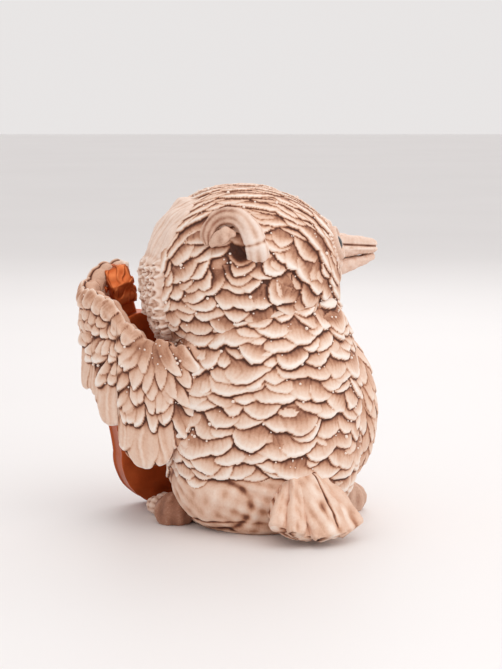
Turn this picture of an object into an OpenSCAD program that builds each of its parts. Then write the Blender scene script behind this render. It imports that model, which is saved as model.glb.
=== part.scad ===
// Seated owl figurine with a small upright cello, cast resin, standing on a flat underside.
// Frame: +Z up, the owl's body looks along -Y, its left side is +X, origin at the middle of
// the flat underside. Sizes in millimetres.

/* [Figure] */
// Height from the table to the top of the crown
figure_h = 82.5; // [70:0.5:100]
// Widest radius of the torso
body_r = 24.4; // [24.2:0.1:25]
// Turn of the head to the owl's right, degrees from straight ahead
head_turn = 100; // [60:1:110]
// Radius of the head
head_r = 23.9; // [23.4:0.1:24.4]

/* [Face] */
// How far the beak stands out of the face
beak_l = 11.6; // [9.5:0.1:12]
// Radius of each eye ball
eye_r = 3.2; // [2.8:0.1:3.4]
// Radius of each half of the facial disc
disc_r = 6.8; // [6.8:0.1:7.6]

/* [Wings and tail] */
// Thickness of the raised wing
wing_t = 3.0; // [2.6:0.1:3.4]
// Number of tail feathers
tail_feathers = 5; // [3:1:7]
// Thickness of the tail fan
tail_t = 2.6; // [2.2:0.1:3.2]

/* [Cello] */
// Lean of the cello to the owl's left, degrees
cello_lean = 16.4; // [15:0.1:18]
// Thickness of the cello's ribs
cello_t = 6.6; // [6.4:0.1:7]
// Half width of the lower bout
bout_r = 13; // [12.4:0.1:13.1]

/* [Joints] */
// Radius of the locating pegs
peg_r = 2.0; // [1.6:0.1:2.4]
// Glue gap round a peg
peg_gap = 0.12; // [0.08:0.01:0.2]

/* [Hidden] */
$fn = 64;
e = 0.02;
k = figure_h / 82.5;
resin = [0.80, 0.66, 0.54];
pale = [0.90, 0.80, 0.70];
copper = [0.72, 0.38, 0.20];
felt = [0.20, 0.16, 0.14];

neck_z = 54.5;            // top of the torso's rim round the dished head seat
head_c = [3.0, -4.4, 60.3];
head_b = 82.5 - head_c[2];// half height of the head
pad_r = 13;
pad_t = 1.0;
tail_slope = 38;
sweep = -24;              // turn of the raised wing's own frame about the body axis

// torso radius at height z, an egg standing on a flat foot
function torso_r(z) = body_r * (z < 27 ? pow(1 - pow(abs(27 - z) / 35.5, 2.5), 0.5)
                                       : 1 - 0.127 * pow((z - 27) / 20, 2.2));
torso_profile = concat([[0, 0], [torso_r(0) - 0.6, 0], [torso_r(0), 0.7]],
  [for (i = [1:18]) [torso_r(i * neck_z / 18), i * neck_z / 18]], [[0, neck_z]]);

// head outline, a slightly squared ball, grown outwards by g
function head_p(a, g) = [(head_r + g) * pow(abs(cos(a)), 0.88),
                         (head_b + g) * sign(sin(a)) * pow(abs(sin(a)), 0.92)];
function head_profile(g) = concat([[0, -head_b - g]],
  [for (i = [1:23]) head_p(-90 + i * 7.5, g)], [[0, head_b + g]]);

module sized() scale(k) children();

module head_ball(g) rotate_extrude() polygon(head_profile(g));
module head_frame() translate(head_c) rotate([0, 0, -head_turn]) children();
// frame on the head's skin: az to the owl's left of the face, el upwards; -Y points outwards
module on_head(az, el) head_frame() rotate([0, 0, az]) rotate([-el, 0, 0]) children();

// ---- locating pegs, each a cylinder shared by a spigot and its socket
module peg_head(g) translate([head_c[0], head_c[1], 32]) translate([0, 0, -g])
  cylinder(r = 5 + g, h = 12 + g);
module peg_wing_l(g) rotate([0, 0, sweep + 180]) translate([-10, -10, 36]) rotate([0, 0, 225])
  rotate([0, 90, 0]) cylinder(r = peg_r + g, h = 13);
module peg_wing_r(g) translate([-26, -3, 27]) rotate([0, 90, 0]) cylinder(r = peg_r + g, h = 9.5);
module peg_tail(g) translate([0, 17, 10]) rotate([-90, 0, 0]) cylinder(r = peg_r + g, h = 8);
function foot_x(s) = s > 0 ? 20.4 : -24.4;
function foot_y(s) = s > 0 ? -6.5 : -2.6;
module peg_foot(s, g) translate([foot_x(s) * 0.55, foot_y(s) * 0.55, 3.8])
  rotate([0, 0, atan2(foot_y(s), foot_x(s))]) rotate([0, 90, 0])
    cylinder(r = peg_r - 0.4 + g, h = 9);
module peg_cello(g) translate([7.5, -25.8, 17]) rotate([-90, 0, 0]) cylinder(r = peg_r + g, h = 9);

module torso_raw() difference() {
  rotate_extrude() polygon(torso_profile);
  translate(head_c) head_ball(0);
}

module torso() color(resin) sized() difference() {
  torso_raw();
  translate([0, 0, -1]) cylinder(r = pad_r + 0.1, h = pad_t + 1);
  peg_head(peg_gap);
  peg_wing_l(peg_gap);
  peg_wing_r(peg_gap);
  peg_tail(peg_gap);
  peg_foot(1, peg_gap);
  peg_foot(-1, peg_gap);
  peg_cello(peg_gap);
  cello_frame() cello_blank(0.05);
}

module base_pad() color(felt) sized() cylinder(r = pad_r, h = pad_t);

// ---- head and face
module eye_at(s) on_head(s * 23, 19) translate([0, -head_r + 1.4, 0]) children();
module ear_seat(s) head_frame() translate([s * 18.8, 5.8, 13.6]) rotate([0, 0, s * 16])
  rotate([0, s * 60, 0]) children();
module beak_block(g) head_frame() translate([0, -head_r + 2.5, 4.4])
  translate([-4.6 - g, -7, -5.2 - g]) cube([9.2 + 2 * g, 8.6 + g, 10.6 + 2 * g]);
module crest_band() head_frame() translate([-7, 9, -13.5]) cube([14, 20, 32]);

module head() color(resin) sized() difference() {
  union() {
    translate(head_c) head_ball(0);
    peg_head(0);
  }
  for (s = [-1, 1]) eye_at(s) eye_barrel(0.05, 12);
  beak_block(0.05);
  ear_seat(1) ear_root(0.1);
  ear_seat(-1) ear_root(0.1);
}

// an eye is a round barrel let into the head with a domed front
module eye_barrel(g, h) rotate([90, 0, 0]) translate([0, 0, -2.5 - g])
  cylinder(r = eye_r + g, h = h + g);
module eye(s) eye_at(s) {
  eye_barrel(0, 2.8);
  translate([0, -0.3, 0]) sphere(r = eye_r);
}
module eye_left() color([0.16, 0.10, 0.07]) sized() eye(1);
module eye_right() color([0.16, 0.10, 0.07]) sized() eye(-1);

// two round dishes of short feathers lying on the head round the eyes
module face_disc() color(pale) sized() difference() {
  intersection() {
    translate(head_c) head_ball(1.3);
    union() {
      for (s = [-1, 1]) eye_at(s) rotate([90, 0, 0]) cylinder(r = disc_r, h = 12);
    }
  }
  translate(head_c) head_ball(0);
  for (s = [-1, 1]) {
    eye_at(s) eye_barrel(0.05, 14);
    // dished front leaves a raised rim
    eye_at(s) rotate([90, 0, 0]) translate([0, 0, -e]) difference() {
      cylinder(r = disc_r - 1.3, h = 14);
      cylinder(r = eye_r + 1.2, h = 14);
      translate([0, 0, -6]) cylinder(r = disc_r, h = 8.3);
    }
  }
  beak_block(0.05);
}

module beak_side(top, mid, low) translate([4.6, 0, 0]) rotate([0, -90, 0]) linear_extrude(height = 9.2)
  polygon([[top, 0], [top - 1.2, -beak_l + 0.8], [top - 2.4, -beak_l], [mid + 0.6, -beak_l + 0.4],
           [low, -beak_l * 0.55], [low - 0.8, 0]]);
module beak_plan() linear_extrude(height = 14, center = true)
  polygon([[-4.6, 0.01], [-3.4, -beak_l * 0.45], [-1.6, -beak_l], [1.6, -beak_l],
           [3.4, -beak_l * 0.45], [4.6, 0.01]]);
module beak_at() head_frame() translate([0, -head_r + 1.3, 4.4]) children();

module beak_upper() color(pale) sized() difference() {
  beak_at() union() {
    intersection() {
      beak_side(5.4, 0.6, 0.4);
      beak_plan();
    }
    translate([-4.6, -e, -0.2]) cube([9.2, 2.8 + e, 5.6]);
  }
  // cutting edge and culmen grooves
  for (s = [-1, 1]) beak_at() translate([s * 4.3, 0, 3.2]) rotate([0, 0, s * -16])
    translate([-0.5, -beak_l - 1, 0]) cube([1, beak_l + 1.4, 0.5]);
}

module beak_lower() color(pale) sized() beak_at() union() {
  intersection() {
    translate([4.2, 0, 0]) rotate([0, -90, 0]) linear_extrude(height = 8.4)
      polygon([[-0.45, 0], [-0.2, -beak_l * 0.5], [-0.1, -beak_l * 0.9], [-1.8, -beak_l * 0.84],
               [-3.2, -beak_l * 0.42], [-4.9, 0]]);
    beak_plan();
  }
  translate([-4.2, -e, -4.9]) cube([8.4, 2.8 + e, 4.4]);
}

// ear: a horseshoe fold of feathers round a hollow that opens down and back
module ear_root(g) translate([0, 0, -3.4]) cylinder(r = 2.4 + g, h = 4);
module ear(s) ear_seat(s) {
  rotate([0, 0, s > 0 ? 100 : -130]) rotate_extrude(angle = 210) translate([4.1, 0.8])
    scale([0.78, 1]) circle(r = 2.4);
  translate([0, 0, -2.4]) cylinder(r = 4.2, h = 3.2);
  ear_root(0);
}
module ear_cut(s) difference() {
  ear(s);
  difference() {
    translate(head_c) head_ball(0);
    ear_seat(s) ear_root(0.05);
  }
}
module ear_left() color(pale) sized() ear_cut(1);
module ear_right() color(pale) sized() ear_cut(-1);

// raised ridge of curled feathers down the nape
module nape_crest() color(pale) sized() difference() {
  intersection() {
    translate(head_c) head_ball(1.4);
    crest_band();
  }
  translate(head_c) head_ball(0);
  rotate_extrude() polygon(torso_profile);
}

// ---- wings
// The raised wing is laid out in its own frame: x runs from its outer edge towards the body,
// y from its back towards the owl's front. Its plan is a band that leaves the flank and
// curls round the cello's neck.
cup_c = [-33.2, 3.2];
cup_r = 10.6;
module wing_plan_cup() translate(cup_c) difference() {
  circle(r = cup_r);
  circle(r = cup_r - wing_t);
  rotate(10) translate([0, -20]) square([40, 40]);
  rotate(-30) translate([0, -20]) square([40, 40]);
}
module wing_plan_arm() polygon([[-39.6, -5.2], [-37.8, -2.8], [-30, -6.6], [-22, -9.2], [-12, -11],
  [-8, -18.5], [-14, -18.6], [-24, -14.4], [-32, -10.8], [-37.4, -7.2]]);
// outline of the cup, a round wing tip with its two longest feathers
module cup_outline() {
  polygon([[-47, 44], [-45.8, 54], [-43, 61], [-40, 63.4], [-36.6, 61.6], [-30, 56], [-24, 50],
           [-24, 34], [-36, 31], [-44, 33]]);
  translate([-39.4, 37.6]) circle(r = 6.2);
}
// outline of the arm: its upper rim drops to the flank, its flight feathers step down below
module arm_outline() {
  polygon([[-46, 56.4], [-40, 56.4], [-36.9, 55], [-34.5, 53.8], [-32, 50.4], [-29, 47],
           [-26, 45.4], [-18, 45], [-8, 43], [-8, 30], [-14, 20], [-22, 18], [-34, 31],
           [-46, 34]]);
  translate([-39.4, 37.6]) circle(r = 6.2);
  translate([-33.6, 31]) circle(r = 6.6);
  translate([-28.6, 25]) circle(r = 6.8);
  translate([-23.6, 19.8]) circle(r = 6);
}
module wing_left() color(resin) sized() {
  difference() {
    rotate([0, 0, sweep + 180]) union() {
      intersection() {
        translate([0, 0, 8]) linear_extrude(height = 60) union() {
          wing_plan_arm();
          intersection() {
            wing_plan_cup();
            translate([-60, -30]) square([60, 30]);
          }
        }
        translate([0, 40, 0]) rotate([90, 0, 0]) linear_extrude(height = 90) arm_outline();
      }
      intersection() {
        translate([0, 0, 8]) linear_extrude(height = 60) intersection() {
          wing_plan_cup();
          translate([-60, 0]) square([60, 30]);
        }
        translate([0, 40, 0]) rotate([90, 0, 0]) linear_extrude(height = 90) cup_outline();
      }
    }
    rotate_extrude() polygon(torso_profile);
    translate(head_c) head_ball(0.1);
    cello_frame() cello_blank(0.1);
  }
  intersection() {
    peg_wing_l(0);
    rotate_extrude() polygon(torso_profile);
  }
}

// folded wing on the right flank, its tip laid forwards on the cello
module wing_right() color(resin) sized() {
  difference() {
    union() {
      translate([-21.4, -3, 26.5]) scale([0.46, 0.84, 1]) sphere(r = 19.5);
      translate([-14, -19.5, 30]) rotate([0, 0, -36]) scale([1, 0.46, 0.62]) sphere(r = 11.5);
    }
    rotate_extrude() polygon(torso_profile);
    translate(head_c) head_ball(0.1);
    cello_frame() cello_blank(0.1);
    // split flight feathers along the lower edge
    for (a = [-20, 0, 20]) translate([-26, -6, 10]) rotate([0, a, 0]) translate([0, -30, -4])
      cube([0.8, 60, 6]);
  }
  intersection() {
    peg_wing_r(0);
    torso_raw();
  }
}

// ---- tail: rounded feathers fanned side by side on a wedge
module tail_feather(len) {
  translate([0, len - 3]) circle(r = 3);
  polygon([[-1.6, 0], [1.6, 0], [3, len - 3], [-3, len - 3]]);
}
module tail_fan(t) translate([0, 19.4, 17.6]) rotate([-90 + tail_slope, 0, 0])
  linear_extrude(height = t, center = true) union() {
    for (i = [0:tail_feathers - 1]) rotate((i - (tail_feathers - 1) / 2) * 64 / tail_feathers)
      tail_feather(19.6);
  }
module tail() color(resin) sized() {
  difference() {
    union() {
      intersection() {
        tail_fan(tail_t);
        translate([-30, 0, 0]) cube([60, 60, 40]);
      }
      // wedge under the fan
      translate([-6.5, 0, 0]) rotate([90, 0, 90]) linear_extrude(height = 13)
        polygon([[16, 0.3], [27.6, 0.3], [29, 1.6], [20.5, 15], [16, 15]]);
    }
    torso_raw();
  }
  intersection() {
    peg_tail(0);
    torso_raw();
  }
}

// ---- feet: three thick toes in front, a heel behind
module toe(a, l, r) rotate([0, 0, a]) {
  translate([0, -l, r]) sphere(r = r);
  translate([0, 0, r]) rotate([90, 0, 0]) cylinder(r = r, h = l);
}
module foot(s) {
  difference() {
    translate([foot_x(s), foot_y(s), 0]) union() {
      toe(s * -10, 12, 2.4);
      toe(s * 7, 10, 2.35);
      toe(s * -28, 11.4, 2.3);
      translate([0, 0, 2.4]) intersection() {
        sphere(r = 5.2);
        translate([-8, -8, -2.4]) cube([16, 16, 16]);
      }
    }
    torso_raw();
    cello_frame() cello_blank(0.1);
  }
  intersection() {
    peg_foot(s, 0);
    rotate_extrude() polygon(torso_profile);
  }
}
module foot_left() color(pale) sized() foot(1);
module foot_right() color(pale) sized() foot(-1);

// ---- cello: front faces -Y, stands in front of the owl's left leg
module cello_frame() translate([10.7, -28.4, 0.35]) rotate([-2.2, cello_lean, 0]) children();
// the silhouette block used for the body and for the room it needs in its neighbours
module cello_blank(g) translate([0, cello_t / 2 + g, 0]) rotate([90, 0, 0])
  linear_extrude(height = cello_t + 2 * g) {
    translate([0, 13.4]) circle(r = bout_r + g);
    translate([0, 41]) circle(r = 10.4 + g);
    polygon([[-12.2 - g, 18], [-11.2 - g, 26.6 + g], [-10.6 - g, 34.8 - g], [-10 - g, 42],
             [10 + g, 42], [10.6 + g, 34.8 - g], [11.2 + g, 26.6 + g], [12.2 + g, 18]]);
  }
module cello_body() color(copper) sized() {
  cello_frame() difference() {
    union() {
      translate([0, cello_t / 2 - 0.5, 0]) rotate([90, 0, 0]) linear_extrude(height = cello_t - 1)
        difference() {
          union() {
            translate([0, 13.4]) circle(r = bout_r - 0.5);
            translate([0, 41]) circle(r = 9.9);
            polygon([[-11.9, 18], [-11, 26.4], [-10.4, 35], [-9.8, 42], [9.8, 42], [10.4, 35],
                     [11, 26.4], [11.9, 18]]);
          }
          for (s = [-1, 1]) translate([s * 15.2, 30.8]) circle(r = 6.9);
        }
      // overhanging edges of the front and back plates
      for (y = [-cello_t / 2 + 0.5, cello_t / 2]) translate([0, y, 0]) rotate([90, 0, 0])
        linear_extrude(height = 0.5) difference() {
          union() {
            translate([0, 13.4]) circle(r = bout_r);
            translate([0, 41]) circle(r = 10.4);
            polygon([[-12.2, 18], [-11.4, 26.6], [-10.8, 34.8], [-10, 42], [10, 42], [10.8, 34.8],
                     [11.4, 26.6], [12.2, 18]]);
          }
          for (s = [-1, 1]) translate([s * 15.2, 30.8]) circle(r = 6.4);
        }
    }
    // sound holes
    for (s = [-1, 1]) translate([s * 5.6, -cello_t / 2 - 1, 24.6]) rotate([0, s * 8, 0]) {
      translate([-0.45, 0, 0]) cube([0.9, 2, 7.6]);
      translate([-s * 0.5, 0, 7.8]) rotate([-90, 0, 0]) cylinder(r = 0.95, h = 2);
      translate([s * 0.5, 0, -0.2]) rotate([-90, 0, 0]) cylinder(r = 0.95, h = 2);
    }
    // slot for the neck block
    translate([-2.6, -cello_t / 2 - 1, 46]) cube([5.2, cello_t - 1, 8]);
  }
  peg_cello(0);
}

// neck with the fingerboard over the front plate
module cello_neck() color(copper) sized() cello_frame() {
  translate([-2.5, -cello_t / 2, 46.05]) cube([5, cello_t - 2.1, 8.4]);
  translate([0, -cello_t / 2 + e, 0]) rotate([90, 0, 0]) linear_extrude(height = 1.2)
    polygon([[-2.6, 30], [2.6, 30], [2.2, 54.45], [-2.2, 54.45]]);
}

// pegbox: a thick block with a chamfered head
module pegbox_blank() translate([3.2, 0, 54.5]) rotate([0, -90, 0]) linear_extrude(height = 6.4)
  polygon([[0, -3.2], [0, 2.4], [5, 3.2], [9, 0.6], [9.6, -2.2], [7.2, -4.4]]);
module cello_scroll() color(copper) sized() cello_frame() difference() {
  union() {
    pegbox_blank();
    for (s = [-1, 1]) translate([s * 3.2, -1.6, 61.2]) rotate([0, 90, 0])
      translate([0, 0, -0.35]) cylinder(r = 2, h = 0.7);
  }
  for (z = [56.6, 59]) translate([-6, 0, z]) rotate([0, 90, 0]) cylinder(r = 0.55, h = 12);
}
module cello_pegs() color(copper) sized() cello_frame()
  for (s = [-1, 1]) for (z = [56.6, 59]) translate([s * 2.2, 0, z]) rotate([0, s * 90, 0]) {
    cylinder(r = 0.5, h = 1.4);
    translate([0, 0, 1.15]) cylinder(r = 1, h = 0.75);
  }

module cello_bridge() color(copper) sized() cello_frame() translate([0, -cello_t / 2 - e, 27.6])
  rotate([90, 0, 0]) translate([0, -0.5, 0]) difference() {
    linear_extrude(height = 2.2) translate([-3.4, 0]) square([6.8, 1]);
    translate([0, -1, 0]) rotate([-90, 0, 0]) translate([0, 0.3, 0]) cylinder(r = 1.1, h = 4);
  }
module cello_tailpiece() color(copper) sized() cello_frame() translate([0, -cello_t / 2 - e, 0])
  rotate([90, 0, 0]) linear_extrude(height = 1.3)
    polygon([[-1.2, 6], [1.2, 6], [2.6, 19], [-2.6, 19]]);
module cello_strings() color([0.80, 0.48, 0.28]) sized() cello_frame()
  for (i = [-1.5:1:1.5]) {
    translate([i * 1.05, -cello_t / 2 - 1.3 - 0.6, 18.6]) rotate([0, -i * 0.35, 0])
      cylinder(r = 0.3, h = 36.6, $fn = 16);
  }

torso();
head();
face_disc();
eye_left();
eye_right();
beak_upper();
beak_lower();
ear_left();
ear_right();
nape_crest();
wing_left();
wing_right();
tail();
foot_left();
foot_right();
cello_body();
cello_neck();
cello_scroll();
cello_pegs();
cello_bridge();
cello_tailpiece();
cello_strings();
base_pad();
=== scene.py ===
import math
import bpy
import numpy as np
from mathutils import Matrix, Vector


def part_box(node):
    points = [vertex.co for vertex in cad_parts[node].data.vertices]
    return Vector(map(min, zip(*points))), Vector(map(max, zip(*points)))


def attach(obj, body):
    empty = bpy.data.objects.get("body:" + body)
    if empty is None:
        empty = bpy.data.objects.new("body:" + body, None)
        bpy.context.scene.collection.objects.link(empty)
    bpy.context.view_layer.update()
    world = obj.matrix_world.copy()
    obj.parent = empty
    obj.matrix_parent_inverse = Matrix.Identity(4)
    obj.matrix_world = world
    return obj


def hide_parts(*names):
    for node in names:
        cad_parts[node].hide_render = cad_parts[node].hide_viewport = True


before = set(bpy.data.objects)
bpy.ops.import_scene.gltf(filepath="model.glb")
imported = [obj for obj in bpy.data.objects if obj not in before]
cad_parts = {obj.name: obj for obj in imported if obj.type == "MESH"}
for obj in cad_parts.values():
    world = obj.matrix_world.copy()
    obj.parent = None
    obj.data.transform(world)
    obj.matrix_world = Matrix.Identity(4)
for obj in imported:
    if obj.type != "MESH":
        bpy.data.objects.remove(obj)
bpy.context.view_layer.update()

MM = 0.001
rng = np.random.default_rng(7)


def mm(node):
    lo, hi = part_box(node)
    return np.array(lo) * 1000, np.array(hi) * 1000


# ---------------------------------------------------------------- sizes taken from the frame
t_lo, t_hi = mm("torso")
h_lo, h_hi = mm("head")
K = (h_hi[2] - t_lo[2]) / 82.5                    # scale against the nominal 82.5 mm figure
BODY_R = (t_hi[0] - t_lo[0]) / 2
HEAD_R = (h_hi[0] - h_lo[0]) / 2
HEAD_C = np.array([(h_lo[0] + h_hi[0]) / 2, (h_lo[1] + h_hi[1]) / 2, 60.3 * K])
HEAD_B = h_hi[2] - HEAD_C[2]
NECK_Z = t_hi[2]
b_lo, b_hi = mm("beak_upper")
beak_dir = (b_lo + b_hi) / 2 - HEAD_C
HEADING = math.atan2(beak_dir[1], beak_dir[0])    # which way the face looks, seen from above
FACE = np.array([math.cos(HEADING), math.sin(HEADING), 0.0])
HEAD_LEFT = np.array([-FACE[1], FACE[0], 0.0])
UP = np.array([0.0, 0.0, 1.0])
# the figure is laid out against a second pair of horizontal axes: ACROSS runs to the right of a
# person standing behind its left shoulder, AWAY runs from that person through the body
AZ = math.radians(156)
ACROSS = np.array([math.cos(AZ), math.sin(AZ), 0.0])
AWAY = np.array([-math.sin(AZ), math.cos(AZ), 0.0])


def at(u, v, z):
    """Point from across, away and height, in nominal millimetres."""
    u, v, z = np.broadcast_arrays(*[np.asarray(x, float) for x in (u, v, z)])
    return (u[..., None] * ACROSS + v[..., None] * AWAY + z[..., None] * UP) * K


def sstep(x, a, b):
    t = np.clip((x - a) / (b - a), 0, 1)
    return t * t * (3 - 2 * t)


def bell(x, wide):
    """A smooth bump of height 1 where x is 0."""
    return np.exp(-(x / wide) ** 2)


def ks(*v):
    """Millimetres as metres."""
    return np.array(v) * K


def turned(r, z, th):
    """Points on circles of radius r at the heights z, as one list."""
    flat = [r[:, None] * np.cos(th), r[:, None] * np.sin(th), np.repeat(z[:, None], len(th), 1)]
    return np.stack(flat, -1).reshape(-1, 3)


def unit(v):
    return v / np.maximum(np.linalg.norm(v, axis=-1, keepdims=True), 1e-12)


# ---------------------------------------------------------------- meshes as arrays
def normals(V, F):
    N = np.zeros_like(V)
    for f in F:
        if len(f) == 0:
            continue
        a, b, c = V[f[:, 0]], V[f[:, 1]], V[f[:, -1]]
        n = np.cross(b - a, c - a) if f.shape[1] == 3 else np.cross(V[f[:, 2]] - a, V[f[:, 3]] - b)
        for k in range(f.shape[1]):
            for x in range(3):
                N[:, x] += np.bincount(f[:, k], n[:, x], len(V))
    return unit(N)


def edges(F):
    e = [np.stack([f[:, i], f[:, (i + 1) % f.shape[1]]], 1) for f in F if len(f) for i in range(f.shape[1])]
    e = np.sort(np.concatenate(e), 1)
    return np.unique(e, axis=0)


def blur(val, E, times):
    n = len(val)
    deg = np.bincount(E[:, 0], minlength=n) + np.bincount(E[:, 1], minlength=n)
    deg = np.maximum(deg, 1)
    for _ in range(times):
        s = np.bincount(E[:, 0], val[E[:, 1]], n) + np.bincount(E[:, 1], val[E[:, 0]], n)
        val = 0.35 * val + 0.65 * s / deg
    return val


def cube_ball(n):
    t = np.tan(np.linspace(-1, 1, n + 1) * math.pi / 4)
    a, b = np.meshgrid(t, t, indexing="ij")
    one = np.ones_like(a)
    sides = [(one, a, b), (-one, b, a), (b, one, a), (a, -one, b), (a, b, one), (b, a, -one)]
    P, Q = [], []
    i = np.arange(n)[:, None] * (n + 1) + np.arange(n)[None, :]
    quad = np.stack([i, i + n + 1, i + n + 2, i + 1], -1).reshape(-1, 4)
    for s, side in enumerate(sides):
        P.append(np.stack([x.ravel() for x in side], 1))
        Q.append(quad + s * (n + 1) ** 2)
    P, Q = unit(np.concatenate(P)), np.concatenate(Q)
    _, first, back = np.unique(np.round(P * 1e5).astype(int), axis=0, return_index=True, return_inverse=True)
    return P[first], [back.reshape(-1)[Q]]


def grid_faces(nu, nv, close_v=True):
    """Quads over an nu by nv grid whose second direction closes on itself."""
    i = np.arange(nu - 1)[:, None] * nv
    j = np.arange(nv if close_v else nv - 1)[None, :]
    j2 = (j + 1) % nv
    return np.stack([i + j, i + j2, i + nv + j2, i + nv + j], -1).reshape(-1, 4)


def loft(C, S, N, w, th, nphi, e=1.0, section=None):
    """Closed skin round a centre line: C centres, S side unit vectors, N upward unit vectors,
    w and th half width and half thickness. Returns V, F, a (0..1 along), phi."""
    n = len(C)
    phi = np.arange(nphi) / nphi * 2 * math.pi
    cx, sy = np.cos(phi), np.sin(phi)
    if section is None:
        cx = np.sign(cx) * np.abs(cx) ** e
        sy = np.sign(sy) * np.abs(sy) ** e
    else:
        cx, sy = section(phi)
    V = C[:, None] + S[:, None] * (w[:, None] * cx)[..., None] + N[:, None] * (th[:, None] * sy)[..., None]
    V = V.reshape(-1, 3)
    F = grid_faces(n, nphi)
    A = np.repeat(np.linspace(0, 1, n), nphi)
    PH = np.tile(phi, n)
    V = np.concatenate([V, C[:1], C[-1:]])
    c0, c1 = n * nphi, n * nphi + 1
    j = np.arange(nphi)
    j2 = (j + 1) % nphi
    T = np.concatenate([np.stack([np.full(nphi, c0), j2, j], 1),
                        np.stack([np.full(nphi, c1), (n - 1) * nphi + j, (n - 1) * nphi + j2], 1)])
    A, PH = np.append(A, [0, 1]), np.append(PH, [0, 0])
    F = [F, T]
    if signed_volume(V, F) < 0:
        F = [f[:, ::-1].copy() for f in F]
    return V, F, A, PH


def signed_volume(V, F):
    vol = 0.0
    for f in F:
        for k in range(1, f.shape[1] - 1):
            vol += np.einsum("ij,ij->i", V[f[:, 0]], np.cross(V[f[:, k]], V[f[:, k + 1]])).sum()
    return vol / 6


def icosphere(centre, r, squash=1.0):
    g = (1 + 5 ** 0.5) / 2
    v = unit(np.array([(-1, g, 0), (1, g, 0), (-1, -g, 0), (1, -g, 0), (0, -1, g), (0, 1, g), (0, -1, -g),
                       (0, 1, -g), (g, 0, -1), (g, 0, 1), (-g, 0, -1), (-g, 0, 1)], float))
    f = np.array([(0, 11, 5), (0, 5, 1), (0, 1, 7), (0, 7, 10), (0, 10, 11), (1, 5, 9), (5, 11, 4),
                  (11, 10, 2), (10, 7, 6), (7, 1, 8), (3, 9, 4), (3, 4, 2), (3, 2, 6), (3, 6, 8),
                  (3, 8, 9), (4, 9, 5), (2, 4, 11), (6, 2, 10), (8, 6, 7), (9, 8, 1)])
    mids = np.concatenate([f[:, [0, 1]], f[:, [1, 2]], f[:, [2, 0]]])
    key, back = np.unique(np.sort(mids, 1), axis=0, return_inverse=True)
    back = back.reshape(-1)
    m = unit(v[key[:, 0]] + v[key[:, 1]])
    a, b, c = (len(v) + back[i * len(f):(i + 1) * len(f)] for i in range(3))
    corners = ((f[:, 0], a, c), (f[:, 1], b, a), (f[:, 2], c, b), (a, b, c))
    f = np.concatenate([np.stack(x, 1) for x in corners])
    return centre + np.concatenate([v, m]) * r * np.array([1, 1, squash]), f


def lumps(P, size, seed, terms=9):
    """Smooth irregular bumps about size millimetres across, roughly within -1..1."""
    g = np.random.default_rng(seed)
    out = np.zeros(len(P))
    for _ in range(terms):
        d = unit(g.normal(size=3)) * 2 * math.pi / (size * 2 * (0.7 + 0.7 * g.random()))
        out += np.sin(P @ d + g.random() * 6.28)
    return out / terms ** 0.5


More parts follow.
